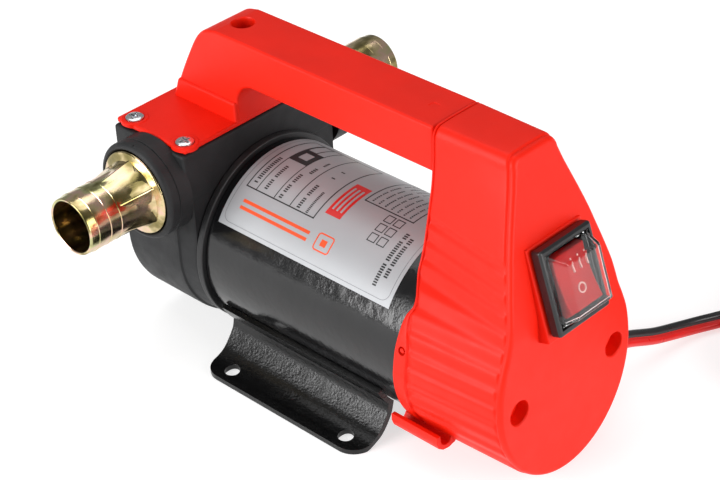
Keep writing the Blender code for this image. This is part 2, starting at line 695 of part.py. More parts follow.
REAR_WIDTH = [
    (0.0, 0.0425), (0.010, 0.0413), (0.020, 0.0375), (0.026, 0.0336), (0.031, 0.0290), (0.035, 0.0250),
    (0.0385, 0.0226), (0.045, 0.0202), (0.052, 0.0185), (0.060, 0.0168), (0.069, 0.0150), (0.078, 0.0141),
    (0.089, 0.0138),
]
FRONT_WIDTH = [
    (0.0, 0.0391), (0.006, 0.0387), (0.012, 0.0377), (0.019, 0.0354), (0.025, 0.0331), (0.032, 0.0313),
    (0.037, 0.0303), (0.043, 0.0288), (0.048, 0.0274), (0.054, 0.0256), (0.060, 0.0238), (0.066, 0.0217),
    (0.072, 0.0194), (0.078, 0.0170), (0.083, 0.0150), (0.089, 0.0130),
]
REAR_EDGE = [
    (-0.0425, 0.1237), (-0.010, 0.1237), (0.006, 0.1242), (0.018, 0.1247), (0.0235, 0.1254), (0.0265, 0.1268),
    (0.0290, 0.1262), (0.0320, 0.1242), (0.0355, 0.1217), (0.0390, 0.1210), (0.0890, 0.1210),
]
FRONT_ROUND = (0.0391, 0.0434)  # half width and depth of the front's lower half, an oval
RIB_LOW, RIB_PITCH, RIBS, RIB_DEPTH = -0.0230, 0.0071, 11, 0.0006


def cap_heights(ribbed):
    """Heights of the outline's points from the bottom up, and whether each is a rib's crest."""
    low = [CAP_R * math.sin(math.radians(a)) for a in (-90, -79, -68, -57, -46, -36)]
    stations = [(z, False) for z in low]
    if not ribbed:
        plain = (-0.0140, -0.0050, 0.0060, 0.0150, 0.0240, 0.0330, 0.0430, 0.0550, 0.0700, 0.0850, 0.0890)
        return stations + [(z, False) for z in plain]
    for i in range(RIBS):
        stations += [(RIB_LOW + RIB_PITCH * i, False), (RIB_LOW + RIB_PITCH * (i + 0.72), True)]
    stations += [(RIB_LOW + RIB_PITCH * RIBS, False)]
    stations += [(z, False) for z in (0.0620, 0.0700, 0.0780, 0.0850, 0.0890)]
    return stations


def cap_outline(share, inset, ribs, ribbed):
    """(y, z) points of one side of the cap, from the bottom centre to the top centre.

    share runs from 0 at the rear section to 1 at the front, inset moves the wall inward, and ribs lowers the
    troughs between the ribs.
    """
    half = []
    across = CAP_R + (FRONT_ROUND[0] - CAP_R) * share
    down = CAP_R + (FRONT_ROUND[1] - CAP_R) * share
    for z, crest in cap_heights(ribbed):
        loss = inset + (0 if crest or not RIB_LOW - 0.001 < z < RIB_LOW + RIB_PITCH * RIBS + 0.001 else ribs)
        if z <= 0:
            level = z / CAP_R
            half.append(((across - loss) * math.sqrt(max(1 - level**2, 0.0)), (down - loss) * level))
        else:
            width = blend(REAR_WIDTH, z) * (1 - share) + blend(FRONT_WIDTH, z) * share
            half.append((max(width - loss, 0.002), z))
    corner = blend(REAR_WIDTH, 0.089) * (1 - share) + blend(FRONT_WIDTH, 0.089) * share - inset
    top = CAP_TOP - inset
    for angle in (25, 50, 75):
        a = math.radians(angle)
        drop = top - 0.0890
        half.append((corner - 0.0045 * (1 - math.cos(a)), 0.0890 + drop * 0.92 * math.sin(a)))
    half.append((corner * 0.35, top - 0.0001))
    half[0] = (0.0, half[0][1])
    return half + [(0.0, top)]


def cap_front(z, back=0.0):
    """X of the cap's front: it leans back a little, and more above LEAN_BREAK, moved back by a depth."""
    lean = LEAN * (min(z, LEAN_BREAK) + CAP_R) + UPPER_LEAN * max(z - LEAN_BREAK, 0.0)
    return CAP_FRONT - lean - back


def cap_rear(z, ahead=0.0):
    """X of the cap's rear edge, which is cut back above the round mouth, moved forward by a depth."""
    return blend(REAR_EDGE, z) + ahead


def cap_body(name, rings, finish, ribbed=True):
    """Lofts (share, inset, ribs, X-function) rings of both sides, and closes both ends with strips."""
    bm = bmesh.new()
    loops = []
    for share, inset, ribs, depth in rings:
        half = cap_outline(share, inset, ribs, ribbed)
        points = [(y, z) for y, z in half] + [(-y, z) for y, z in half[-2:0:-1]]
        loops.append([bm.verts.new((depth(z), y, z)) for y, z in points])
    count = len(loops[0])
    for a, b in zip(loops, loops[1:]):
        for i in range(count):
            j = (i + 1) % count
            bm.faces.new((a[i], a[j], b[j], b[i]))
    for loop in (loops[0], loops[-1]):
        for i in range(count // 2):
            low_left, low_right = loop[-i % count], loop[i]
            high_left, high_right = loop[-(i + 1) % count], loop[i + 1]
            corners = []
            for vert in (low_left, low_right, high_right, high_left):
                if vert not in corners:
                    corners.append(vert)
            bm.faces.new(corners)
    mesh = mesh_of(name, bm)
    smooth(mesh, 40)
    return place(name, mesh, finish)


def make_end_cap():
    cap = cap_body(
        "end_cap",
        [
            (0.0, 0.0004, 0.0, cap_rear),
            (0.04, 0.0, 0.0, lambda z: cap_rear(z, 0.0024)),
            (0.08, 0.0, RIB_DEPTH, lambda z: cap_rear(z, 0.0044)),
            (0.94, 0.0, RIB_DEPTH, lambda z: cap_front(z, 0.0032)),
            (0.96, 0.0003, 0.0, lambda z: cap_front(z, 0.0022)),
            (0.99, 0.0009, 0.0, lambda z: cap_front(z, 0.0007)),
            (1.0, 0.0022, 0.0, lambda z: cap_front(z)),
        ],
        "red_plastic",
    )
    join(cap, box(
        "switch_ramp", (-0.0158, -0.0200, -0.0105), (0.0158, 0.0184, 0.0), bevel=0.0006, parent=SWITCH_FRAME,
    ))
    hook = [
        (-0.0300, -0.0270), (-0.0300, -0.0300), (-0.0340, -0.0308), (-0.0372, -0.0302), (-0.0396, -0.0284),
        (-0.0406, -0.0258), (-0.0406, -0.0226), (-0.0386, -0.0226), (-0.0385, -0.0254), (-0.0377, -0.0272),
        (-0.0358, -0.0283), (-0.0338, -0.0282), (-0.0325, -0.0262),
    ]
    join(cap, prism("hook", hook, CAP_REAR, 0.1450))
    cavity = cap_body(
        "cap_cavity_tool",
        [
            (0.02, CAP_WALL, 0.0, lambda z: cap_rear(z, 0.0024)),
            (0.92, CAP_WALL, 0.0, lambda z: cap_front(z, 0.0050)),
            (1.0, CAP_WALL + 0.0016, 0.0, lambda z: cap_front(z, 0.0030)),
        ],
        None, ribbed=False,
    )
    cut(cap, cavity, rod("cap_mouth_tool", CAP_REAR - 0.002, 0.1463, 0.0404, steps=48))
    cut(cap, box("tenon_way_tool", (0.1190, -0.0103, 0.0763), (0.1260, 0.0103, 0.0907)))
    for sign in (-1, 1):
        at = (0, sign * SCREW_Y, SCREW_Z)
        join(cap, turned(
            "screw_pillar",
            [(0.1465, 0.0068), (0.1738, 0.0068), (0.1738, 0.0051), (0.1500, 0.0051), (0.1500, 0.0022), (0.1465, 0.0022)],
            steps=20, ring=True, at=at,
        ))
        cut(cap, rod("screw_recess_tool", 0.1700, 0.1800, 0.0052, at=at, steps=20))
        screw = turned(
            f"cap_screw_{'inlet' if sign < 0 else 'outlet'}_side",
            [(0.1400, 0.0010), (0.1406, 0.0015), (0.1503, 0.0015), (0.1503, 0.0038), (0.1522, 0.0036), (0.1532, 0.0022)],
            "zinc", steps=12, at=at,
        )
        for turn in (0.3, 0.3 + math.pi / 2):
            cut(screw, box(
                "cross_tool", (0.1516, -0.0024, -0.0004), (0.1545, 0.0024, 0.0004), at=at, turn=(turn, 0, 0)
            ))
    cut(cap, box("switch_hole_tool", (-0.0110, -0.0142, -0.0120), (0.0110, 0.0142, 0.004), parent=SWITCH_FRAME))
    join(cap, rod("lead_boss", *LEAD_BOSS_Y, 0.0082, axis="Y", at=LEAD_EXIT_AT, steps=20))
    cut(cap, rod("lead_hole_tool", 0.0200, 0.0450, 0.0052, axis="Y", at=LEAD_EXIT_AT, steps=18))
    cut(cap, rod("lead_recess_tool", 0.0200, 0.0299, 0.0068, axis="Y", at=LEAD_EXIT_AT, steps=18))
    return cap


# ---------------------------------------------------------------- switch

ROCKER_PIVOT = 0.0030
ROCKER_REST = math.radians(-9)
BEZEL_TOP = 0.0055


def make_switch():
    housing = box(
        "switch_housing", (-0.0146, -0.01745, CLEAR), (0.0146, 0.01745, BEZEL_TOP), "black_plastic",
        bevel=0.0009, parent=SWITCH_FRAME,
    )
    body = box("switch_body", (-0.0106, -0.0138, -0.0190), (0.0106, 0.0138, 0.0010), parent=SWITCH_FRAME)
    join(housing, body)
    for x in (-0.0055, 0.0055):
        for y in (-0.0090, 0.0090):
            join(housing, box(
                "terminal", (x - 0.0004, y - 0.0031, -0.0260), (x + 0.0004, y + 0.0031, -0.0180),
                parent=SWITCH_FRAME,
            ))
    cut(housing, box(
        "cover_seat_tool", (-0.0128, -0.0150, 0.0040), (0.0128, 0.0150, 0.0070), parent=SWITCH_FRAME,
    ))
    cut(housing, box(
        "rocker_way_tool", (-0.0092, -0.0130, -0.0110), (0.0092, 0.0130, 0.0070), parent=SWITCH_FRAME,
    ))
    reach = 0.0122
    profile = [
        (-reach, -0.0006), (-reach, 0.0036), (0.0, 0.0026), (reach, 0.0036), (reach, -0.0006),
        (0.0070, -0.0050), (0.0030, -0.0088), (-0.0030, -0.0088), (-0.0070, -0.0050),
    ]
    bm = bmesh.new()
    face = bm.faces.new([bm.verts.new((-0.0087, y, z)) for y, z in profile])
    pushed = bmesh.ops.extrude_face_region(bm, geom=[face])
    bmesh.ops.translate(
        bm, vec=(0.0174, 0, 0), verts=[v for v in pushed["geom"] if isinstance(v, bmesh.types.BMVert)]
    )
    rocker = place(
        "switch_rocker", mesh_of("switch_rocker", bm), "red_plastic",
        at=(0, 0, ROCKER_PIVOT), turn=(ROCKER_REST, 0, 0), parent=SWITCH_FRAME,
    )
    soften(rocker, 0.0004, 1)

    def frustum(name, low, high, finish):
        made = bmesh.new()
        rings = []
        for (half_x, half_y, z) in (low, high):
            corners = ((-half_x, -half_y), (half_x, -half_y), (half_x, half_y), (-half_x, half_y))
            rings.append([made.verts.new((x, y, z)) for x, y in corners])
        for i in range(4):
            j = (i + 1) % 4
            made.faces.new((rings[0][i], rings[0][j], rings[1][j], rings[1][i]))
        made.faces.new(rings[0])
        made.faces.new(rings[1])
        return place(name, mesh_of(name, made), finish, parent=SWITCH_FRAME)

    cover = frustum("switch_cover", (0.0124, 0.0146, 0.0043), (0.0100, 0.0128, 0.0125), "clear")
    soften(cover, 0.0009, 2)
    inner = frustum("cover_hollow_tool", (0.0116, 0.0138, 0.0030), (0.0092, 0.0121, 0.0117), None)
    cut(cover, inner)
    return housing


# ---------------------------------------------------------------- lead

LEAD_R = 0.0036
LEAD_EXIT_AT = (0.1560, 0.0, -0.0260)
LEAD_BOSS_Y = (0.0240, 0.0394)
LEAD_START_Y = 0.0533
LEAD_ROUTE = [
    (0.1560, LEAD_START_Y, -0.0261), (0.1561, 0.0595, -0.0270), (0.1565, 0.0655, -0.0291),
    (0.1571, 0.0710, -0.0314), (0.1583, 0.0800, -0.0349), (0.1600, 0.0925, -0.0383),
    (0.1629, 0.1037, -0.0402), (0.1674, 0.1130, -0.0404), (0.1735, 0.1257, -0.0404),
]
COIL_CENTRE = (0.2298, 0.1300)
COIL_MEAN_R, COIL_ROWS, COIL_LAYERS = 0.0380, 4, 2
PLUG_TURN = math.radians(68)  # where on the coil the plug lies
PLUG_SIZE, PLUG_COLLAR = (0.0164, 0.0300, 0.0090), 0.0070


def smooth_route(points, spacing):
    """Evenly spaced points on a Catmull-Rom curve through points."""
    vectors = [Vector(p) for p in points]
    ends = [vectors[0] * 2 - vectors[1]] + vectors + [vectors[-1] * 2 - vectors[-2]]
    dense = []
    for a, b, c, d in zip(ends, ends[1:], ends[2:], ends[3:]):
        for i in range(20):
            t = i / 20
            dense.append(
                0.5 * (2 * b + (c - a) * t + (2 * a - 5 * b + 4 * c - d) * t**2 + (3 * b - a - 3 * c + d) * t**3)
            )
    dense.append(vectors[-1])
    made, travelled = [dense[0]], 0.0
    for a, b in zip(dense, dense[1:]):
        travelled += (b - a).length
        if travelled >= spacing:
            made.append(b)
            travelled = 0.0
    if (made[-1] - dense[-1]).length > spacing / 2:
        made.append(dense[-1])
    else:
        made[-1] = dense[-1]
    return [tuple(p) for p in made]


def make_lead():
    grommet = turned(
        "lead_grommet",
        [
            (0.0283, LEAD_R + 0.0006), (0.0284, 0.0064), (0.0296, 0.0064), (0.0297, 0.0049), (0.0397, 0.0049),
            (0.0398, 0.0066), (0.0412, 0.0066), (0.0418, 0.0058), (LEAD_START_Y - CLEAR, LEAD_R + 0.0012),
            (LEAD_START_Y - CLEAR, LEAD_R + 0.0006),
        ],
        "rubber", "Y", steps=18, ring=True, at=LEAD_EXIT_AT,
    )
    wire("lead_tube", smooth_route(LEAD_ROUTE, 4 * LEAD_R), LEAD_R, "lead_skin")
    return grommet


def make_coil():
    """The stored length of the lead as one ring, and the plug that lies on it."""
    frame = bpy.data.objects.new("coil_frame", None)
    frame.parent = PUMP_FRAME
    frame.location = (*COIL_CENTRE, GROUND)
    frame.rotation_euler = (0, 0, PLUG_TURN)
    PARTS.objects.link(frame)
    half_width = COIL_ROWS * LEAD_R
    top = CLEAR + 2 * LEAD_R * COIL_LAYERS
    coil = washer(
        "lead_coil", CLEAR, top, COIL_MEAN_R - half_width, COIL_MEAN_R + half_width, "lead_skin",
        axis="Z", steps=40, parent=frame,
    )
    low = top + CLEAR
    middle = low + PLUG_SIZE[2] / 2
    plug = box(
        "lead_plug",
        (COIL_MEAN_R - PLUG_SIZE[0] / 2, -PLUG_SIZE[1], low),
        (COIL_MEAN_R + PLUG_SIZE[0] / 2, 0.0, low + PLUG_SIZE[2]),
        "red_plastic", bevel=0.0009, parent=frame,
    )
    collar = rod(
        "plug_collar", -0.0010, PLUG_COLLAR, 0.0046, axis="Y", at=(COIL_MEAN_R, 0, middle), steps=20, parent=frame
    )
    join(plug, collar)
    for sign, colour in ((-1, "black"), (1, "red")):
        x = COIL_MEAN_R + sign * PLUG_SIZE[0] / 4
        mouth = box(
            "plug_mouth_tool",
            (x - 0.0028, -PLUG_SIZE[1] - 0.002, middle - 0.0026), (x + 0.0028, -0.0120, middle + 0.0026),
            parent=frame,
        )
        cut(plug, mouth)
        box(
            f"plug_contact_{colour}",
            (x - 0.0019, -PLUG_SIZE[1] + 0.0020, middle - 0.0007), (x + 0.0019, -0.0120 - CLEAR, middle + 0.0007),
            "brass", bevel=0.0002, parent=frame,
        )
    return coil


def build():
    make_pump_body()
    make_pump_cover()
    make_rotor()
    make_port_fitting("inlet", "-Y")
    make_port_fitting("outlet", "Y")
    make_strainer()
    make_bypass_valve()
    make_motor_case()
    make_armature()
    make_magnets()
    make_brush_gear()
    make_foot("inlet")
    make_foot("outlet")
    make_handle()
    make_end_cap()
    make_switch()
    make_lead()
    make_coil()


build()
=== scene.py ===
"""Looks of a small electric fluid transfer pump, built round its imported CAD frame.

Lengths are in metres. Pieces are drawn about the motor axis, as the CAD is: +X from the pump head to the
end cap, -Y the inlet side, +Z up. PUMP then moves them onto the frame.
"""

import math
from math import acos, atan2, ceil, cos, hypot, pi, radians, sin, sqrt

import bmesh
import bpy
from mathutils import Matrix, Vector


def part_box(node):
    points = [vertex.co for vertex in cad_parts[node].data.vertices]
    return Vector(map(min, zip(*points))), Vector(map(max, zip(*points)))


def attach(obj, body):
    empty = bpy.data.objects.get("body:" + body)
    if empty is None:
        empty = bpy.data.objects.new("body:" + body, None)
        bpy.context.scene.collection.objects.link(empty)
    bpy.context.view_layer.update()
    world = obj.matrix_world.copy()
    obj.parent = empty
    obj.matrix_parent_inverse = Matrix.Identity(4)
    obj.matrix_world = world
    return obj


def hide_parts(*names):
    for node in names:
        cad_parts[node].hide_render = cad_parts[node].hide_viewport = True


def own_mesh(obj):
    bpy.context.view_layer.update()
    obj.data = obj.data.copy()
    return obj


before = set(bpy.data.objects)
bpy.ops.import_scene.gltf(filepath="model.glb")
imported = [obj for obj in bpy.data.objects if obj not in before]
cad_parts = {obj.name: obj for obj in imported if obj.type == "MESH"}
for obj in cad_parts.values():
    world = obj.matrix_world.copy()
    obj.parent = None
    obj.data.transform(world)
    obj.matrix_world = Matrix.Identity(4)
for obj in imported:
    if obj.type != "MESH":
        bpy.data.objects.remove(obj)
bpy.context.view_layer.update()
bpy.context.scene.view_settings.view_transform = "Standard"

# ---- sizes shared with the CAD

CLEAR = 0.0003
TUBE_R, TUBE_WALL = 0.04, 0.0024
TUBE_START, TUBE_END = 0.0176, 0.14
RIM_R = 0.0421
HEAD_R, HEAD_FRONT, HEAD_BACK = 0.0433, -0.028, 0.0137
BLOCK_TOP, BLOCK_LOW = 0.0528, 0.03
COVER_FRONT = -0.029
CHAMBER_R, ECCENTRIC = 0.027, 0.003
CHAMBER_FRONT, CHAMBER_BACK = -0.0232, 0.0075
SHAFT_R = 0.004
PORT_X, PORT_Z = -0.0047, 0.0345
PORT_AT = (PORT_X, 0, PORT_Z)
BOSS_R, BOSS_END, FLANGE_R = 0.0213, 0.0548, 0.0182
BARB_R, BARB_BORE, BARB_TIP = 0.01275, 0.0113, 0.0886
COVER_SCREW_R = 0.0358
BRUSH_MIDDLE = 0.118
PLATE_SCREWS = [(x, y) for x in (-0.0213, 0.009) for y in (-0.0377, 0.0377)]
FOOT_X, FOOT_HOLES_X = (0.0225, 0.1115), (0.0342, 0.0999)
PLATE_X, PLATE_Y, PLATE_LOW, PLATE_TOP = (-0.0277, 0.0137), 0.042, 0.0531, 0.0555
GRIP_TOP, GRIP_UNDER, GRIP_HALF, GRIP_END = 0.0933, 0.0738, 0.0128, 0.1207
CAP_REAR, CAP_R, CAP_WALL, CAP_FRONT, CAP_TOP = 0.121, 0.0425, 0.0019, 0.1775, 0.0944
SLOPE, LEAN, UPPER_LEAN, LEAN_BREAK = radians(17.8), 0.05, 0.25, 0.033
SCREW_Y, SCREW_Z = 0.0282, -0.0018

TUBE_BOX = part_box("motor_tube")
AXIS_Z = (TUBE_BOX[0].z + TUBE_BOX[1].z) / 2
PUMP = Matrix.Translation((TUBE_BOX[0].x - TUBE_START, 0.0, AXIS_Z))
GROUND = -AXIS_Z
SWITCH = PUMP @ Matrix(((0.0, -sin(SLOPE), cos(SLOPE), 0.1732), (1.0, 0.0, 0.0, 0.0),
    (0.0, cos(SLOPE), sin(SLOPE), 0.0433), (0.0, 0.0, 0.0, 1.0)))

# ---- camera, floor and light


WHITE = (1.0, 1.0, 1.0, 1.0)
LIT_POINT = Vector((0.0, 0.0, 0.05))


def new_object(name, data):
    obj = bpy.data.objects.new(name, data)
    bpy.context.scene.collection.objects.link(obj)
    return obj


def fill(node, **values):
    """Sets a node's inputs. An underscore in a key stands for a space."""
    for key, value in values.items():
        node.inputs[key.replace("_", " ")].default_value = value


def make_camera():
    """The photograph's angle: azimuth and elevation of the line from the pump to the lens, and its roll."""
    azimuth, elevation, roll = radians(45.17), radians(33.59), radians(-2.77)
    back = Vector((sin(azimuth) * cos(elevation), -cos(azimuth) * cos(elevation), sin(elevation)))
    right = (-back).cross(Vector((0, 0, 1))).normalized()
    up = back.cross(right)
    across = right * cos(roll) + up * sin(roll)
    over = up * cos(roll) - right * sin(roll)
    data = bpy.data.cameras.new("camera")
    data.lens, data.sensor_width = 103.99, 36.0
    data.clip_start, data.clip_end = 0.01, 50.0
    camera = new_object("camera", data)
    turn = Matrix((across, over, back)).transposed().to_4x4()
    camera.matrix_world = PUMP @ Matrix.Translation((0.5649, -0.4943, 0.4802)) @ turn
    bpy.context.scene.camera = camera


def area_light(name, spot, size, power):
    """A soft lamp that looks at the middle of the pump."""
    data = bpy.data.lights.new(name, "AREA")
    data.shape = "RECTANGLE"
    data.size, data.size_y = size
    data.energy = power
    lamp = new_object(name, data)
    lamp.location = spot
    lamp.rotation_euler = (LIT_POINT - Vector(spot)).to_track_quat("-Z", "Y").to_euler()


def make_studio():
    """A pale sheet under the pump, three soft lamps round it and a weak white surround."""
    world = bpy.data.worlds.new("studio")
    world.use_nodes = True
    fill(world.node_tree.nodes["Background"], Color=WHITE, Strength=0.28)
    bpy.context.scene.world = world

    mesh = bpy.data.meshes.new("floor")
    reach, rise = 4.0, -0.0002
    corners = [(-reach, -reach, rise), (reach, -reach, rise), (reach, reach, rise), (-reach, reach, rise)]
    mesh.from_pydata(corners, [], [(0, 1, 2, 3)])
    paint = bpy.data.materials.new("floor_paper")
    paint.use_nodes = True
    fill(paint.node_tree.nodes["Principled BSDF"], Base_Color=(0.5, 0.5, 0.5, 1.0), Roughness=0.9,
        Specular_IOR_Level=0.1, Emission_Color=WHITE, Emission_Strength=0.66)
    mesh.materials.append(paint)
    new_object("floor", mesh)

    area_light("top_softbox", (-0.25, 0.1, 1.1), (1.1, 0.9), 5.0)
    area_light("left_softbox", (-0.35, -1.15, 0.42), (0.7, 0.7), 15.0)
    area_light("right_softbox", (1.2, 0.15, 0.4), (0.7, 0.7), 12.0)


# ---- materials


def surface(name, colours, roughness, metallic=0.0, coat=0.0, patch=60.0, uneven=0.05, relief=(),
        stretch=(1, 1, 1), shine=0.5):
    """A finish that varies over the piece in its own space.

    colours holds (place, colour) stops that a slow noise of patch features a metre mixes. relief holds
    (features a metre, height in metres, detail) layers of bumps, and uneven is the spread of the roughness.
    """
    made = bpy.data.materials.new(name)
    made.use_nodes = True
    nodes, link = made.node_tree.nodes, made.node_tree.links.new
    shader = nodes["Principled BSDF"]
    fill(shader, Metallic=metallic, Coat_Weight=coat, Coat_Roughness=0.08, Specular_IOR_Level=shine)
    coords = nodes.new("ShaderNodeTexCoord")
    mapping = nodes.new("ShaderNodeMapping")
    fill(mapping, Scale=stretch)
    link(coords.outputs["Object"], mapping.inputs["Vector"])

    def cloud(scale, detail=2.0, roughness_of=0.5):
        node = nodes.new("ShaderNodeTexNoise")
        fill(node, Scale=scale, Detail=detail, Roughness=roughness_of)
        link(mapping.outputs["Vector"], node.inputs["Vector"])
        return node.outputs[0]

    ramp = nodes.new("ShaderNodeValToRGB")
    stops = ramp.color_ramp.elements
    while len(stops) < len(colours):
        stops.new(0.5)
    for stop, (at, colour) in zip(stops, colours):
        stop.position = at
        stop.color = (*colour, 1.0)
    link(cloud(patch, 3.0), ramp.inputs["Fac"])
    link(ramp.outputs["Color"], shader.inputs["Base Color"])

    gloss = nodes.new("ShaderNodeMapRange")
    fill(gloss, From_Min=0.25, From_Max=0.75, To_Min=max(roughness - uneven, 0.02), To_Max=roughness + uneven)
    link(cloud(patch * 3.1, 4.0), gloss.inputs["Value"])
    link(gloss.outputs["Result"], shader.inputs["Roughness"])

    normal = None
    for scale, height, detail in relief:
        bump = nodes.new("ShaderNodeBump")
        fill(bump, Strength=1.0, Distance=height)
        link(cloud(scale, detail, 0.55), bump.inputs["Height"])
        if normal:
            link(normal, bump.inputs["Normal"])
        normal = bump.outputs["Normal"]
    if normal:
        link(normal, shader.inputs["Normal"])
        link(normal, shader.inputs["Coat Normal"])
    return made


def two_tone(colour, spread):
    """Stops a little below and above a colour."""
    low = tuple(c * (1 - spread) for c in colour)
    high = tuple(min(c * (1 + spread), 1.0) for c in colour)
    return [(0.3, low), (0.7, high)]


def make_finishes():
    made = {}

    def add(name, colour, spread, roughness, *relief, **options):
        made[name] = surface(name, two_tone(colour, spread), roughness, relief=relief, **options)

    add("cast_black", (0.017, 0.0175, 0.0185), 0.25, 0.55, (2600, 6e-5, 3), (260, 0.0001, 2), uneven=0.08,
        shine=0.25)
    add("gloss_black", (0.005, 0.005, 0.0055), 0.3, 0.17, (190, 0.00016, 4), (1400, 2e-5, 2), coat=0.2,
        uneven=0.05, shine=0.4)
    add("wrinkle_black", (0.002, 0.002, 0.0022), 0.3, 0.24, (1000, 0.00016, 3), (190, 0.00016, 2),
        uneven=0.06, shine=0.42)
    add("red_plastic", (0.77, 0.012, 0.002), 0.06, 0.44, (2600, 5.5e-5, 3), (90, 0.00018, 1), shine=0.19,
        uneven=0.05, patch=35.0)
    add("rocker_red", (0.62, 0.004, 0.005), 0.05, 0.34, (300, 4e-5, 1), shine=0.2, uneven=0.04)
    # Yellow zinc plating: slow noise patches of its own iridescent gold, pink and olive tones, and partly
    # painted reflection: the darkest olive stops are a painted dark reflection of the surroundings, and the
    # pale tan and pink stops are partly painted highlight, in bands stretched along the tail.
    made["yellow_zinc"] = surface("yellow_zinc", [(0.3, (0.12, 0.11, 0.03)), (0.42, (0.29, 0.235, 0.095)),
        (0.5, (0.72, 0.58, 0.32)), (0.57, (0.82, 0.56, 0.43)), (0.64, (0.61, 0.59, 0.3)),
        (0.74, (0.21, 0.19, 0.06))], 0.18, metallic=1.0, patch=85.0, uneven=0.07, relief=[(900, 3e-5, 3),
        (150, 0.00012, 1)], stretch=(1, 0.55, 1))
    add("zinc", (0.74, 0.75, 0.77), 0.08, 0.24, (2500, 1e-5, 2), metallic=1.0, patch=300.0)
    add("steel", (0.52, 0.53, 0.55), 0.1, 0.3, (1800, 1e-5, 2), metallic=1.0, patch=200.0)
    add("laminations", (0.3, 0.3, 0.32), 0.1, 0.5, (1500, 3e-5, 2), metallic=1.0, stretch=(8, 1, 1))
    add("copper", (0.75, 0.33, 0.16), 0.15, 0.32, (900, 5e-5, 2), metallic=1.0, stretch=(1, 6, 6))
    add("brass", (0.78, 0.58, 0.26), 0.1, 0.28, (1500, 1e-5, 2), metallic=1.0)
    add("rubber", (0.018, 0.018, 0.018), 0.2, 0.72, (2000, 2e-5, 3))
    add("carbon", (0.05, 0.05, 0.055), 0.2, 0.6, (2500, 3e-5, 3))
    add("ferrite", (0.085, 0.085, 0.095), 0.2, 0.7, (1500, 5e-5, 3))
    add("resin", (0.35, 0.2, 0.1), 0.2, 0.55, (1200, 4e-5, 3))
    add("black_plastic", (0.012, 0.012, 0.013), 0.2, 0.22, (1500, 1.2e-5, 2), uneven=0.05)
    add("lead_red", (0.66, 0.01, 0.008), 0.1, 0.3, (600, 3e-5, 2))
    add("lead_black", (0.012, 0.012, 0.013), 0.2, 0.3, (600, 3e-5, 2))
    add("rim_black", (0.014, 0.014, 0.015), 0.2, 0.42, (1200, 4e-5, 3), uneven=0.07)
    add("foil", (0.39, 0.4, 0.415), 0.03, 0.46, (60, 0.0001, 1), (3000, 4e-6, 2), metallic=0.25, uneven=0.03,
        patch=40.0)
    for name, colour, spread, roughness in (("ink_black", (0.016, 0.016, 0.017), 0.2, 0.34),
            ("ink_grey", (0.16, 0.16, 0.17), 0.2, 0.36), ("ink_red", (0.62, 0.012, 0.01), 0.08, 0.34),
            ("ink_orange", (0.78, 0.085, 0.02), 0.08, 0.34), ("mark_pink", (0.9, 0.5, 0.46), 0.06, 0.3)):
        add(name, colour, spread, roughness, (1500, 6e-6, 2))
    add("clear", (0.96, 0.97, 0.97), 0.02, 0.03, (200, 3e-5, 1), uneven=0.01, shine=0.35)
    fill(made["clear"].node_tree.nodes["Principled BSDF"], Transmission_Weight=1.0, IOR=1.46)
    return made


# ---- shapes

TOOLS = []


def place(name, mesh, at=(0, 0, 0), turn=(0, 0, 0), base=PUMP):
    obj = new_object(name, mesh)
    obj.matrix_world = base @ Matrix.Translation(at) @ turn_matrix(turn)
    TOOLS.append(obj)
    return obj


def turn_matrix(angles):
    made = Matrix.Identity(4)
    for axis, angle in zip("XYZ", angles):
        made = Matrix.Rotation(angle, 4, axis) @ made
    return made


def mesh_of(name, bm):
    bmesh.ops.recalc_face_normals(bm, faces=bm.faces)
    mesh = bpy.data.meshes.new(name)
    bm.to_mesh(mesh)
    bm.free()
    return mesh


def skin(bm, rings, ends=True):
    """Faces between rings of as many corners each, and over both ends."""
    for a, b in zip(rings, rings[1:]):
        for i in range(len(a)):
            j = (i + 1) % len(a)
            bm.faces.new((a[i], a[j], b[j], b[i]))
    if ends:
        bm.faces.new(rings[0])
        bm.faces.new(rings[-1])


def loft(name, rings, **where):
    """A closed piece through rings of points."""
    bm = bmesh.new()
    skin(bm, [[bm.verts.new(point) for point in ring] for ring in rings])
    return place(name, mesh_of(name, bm), **where)


TURNS = {"X": (0.0, pi / 2, 0.0), "Y": (-pi / 2, 0.0, 0.0), "-Y": (pi / 2, 0.0, 0.0), "Z": (0.0, 0.0, 0.0)}


def turned(name, profile, axis="X", steps=96, ring=False, **where):
    """A turned piece from (along, radius) points. A ring's profile is closed and returns along its bore."""
    bm = bmesh.new()
    rings = []
    for i in range(steps):
        angle = 2 * pi * i / steps
        rings.append([bm.verts.new((r * cos(angle), r * sin(angle), along)) for along, r in profile])
    last = len(profile) if ring else len(profile) - 1
    for i in range(steps):
        a, b = rings[i], rings[(i + 1) % steps]
        for j in range(last):
            k = (j + 1) % len(profile)
            bm.faces.new((a[j], b[j], b[k], a[k]))
    if not ring:
        bm.faces.new([r[0] for r in rings])
        bm.faces.new([r[-1] for r in rings])
    return place(name, mesh_of(name, bm), turn=TURNS[axis], **where)


def rod(name, start, end, radius, axis="X", steps=64, **where):
    return turned(name, [(start, radius), (end, radius)], axis, steps, **where)


def washer(name, start, end, inner, outer, axis="X", steps=96, **where):
    return turned(name, [(start, outer), (end, outer), (end, inner), (start, inner)], axis, steps, True,
        **where)


def prism(name, outline, start, end, axis="X", **where):
    """A flat outline pushed along an axis: (Y, Z) points for X, (X, Z) for Y and (X, Y) for Z."""

    def spot(a, b, along):
        return {"X": (along, a, b), "Y": (a, along, b), "Z": (a, b, along)}[axis]

    bm = bmesh.new()
    face = bm.faces.new([bm.verts.new(spot(a, b, start)) for a, b in outline])
    pushed = bmesh.ops.extrude_face_region(bm, geom=[face])
    step = Vector(spot(0.0, 0.0, end - start))
    bmesh.ops.translate(bm, vec=step, verts=[v for v in pushed["geom"] if isinstance(v, bmesh.types.BMVert)])
    return place(name, mesh_of(name, bm), **where)


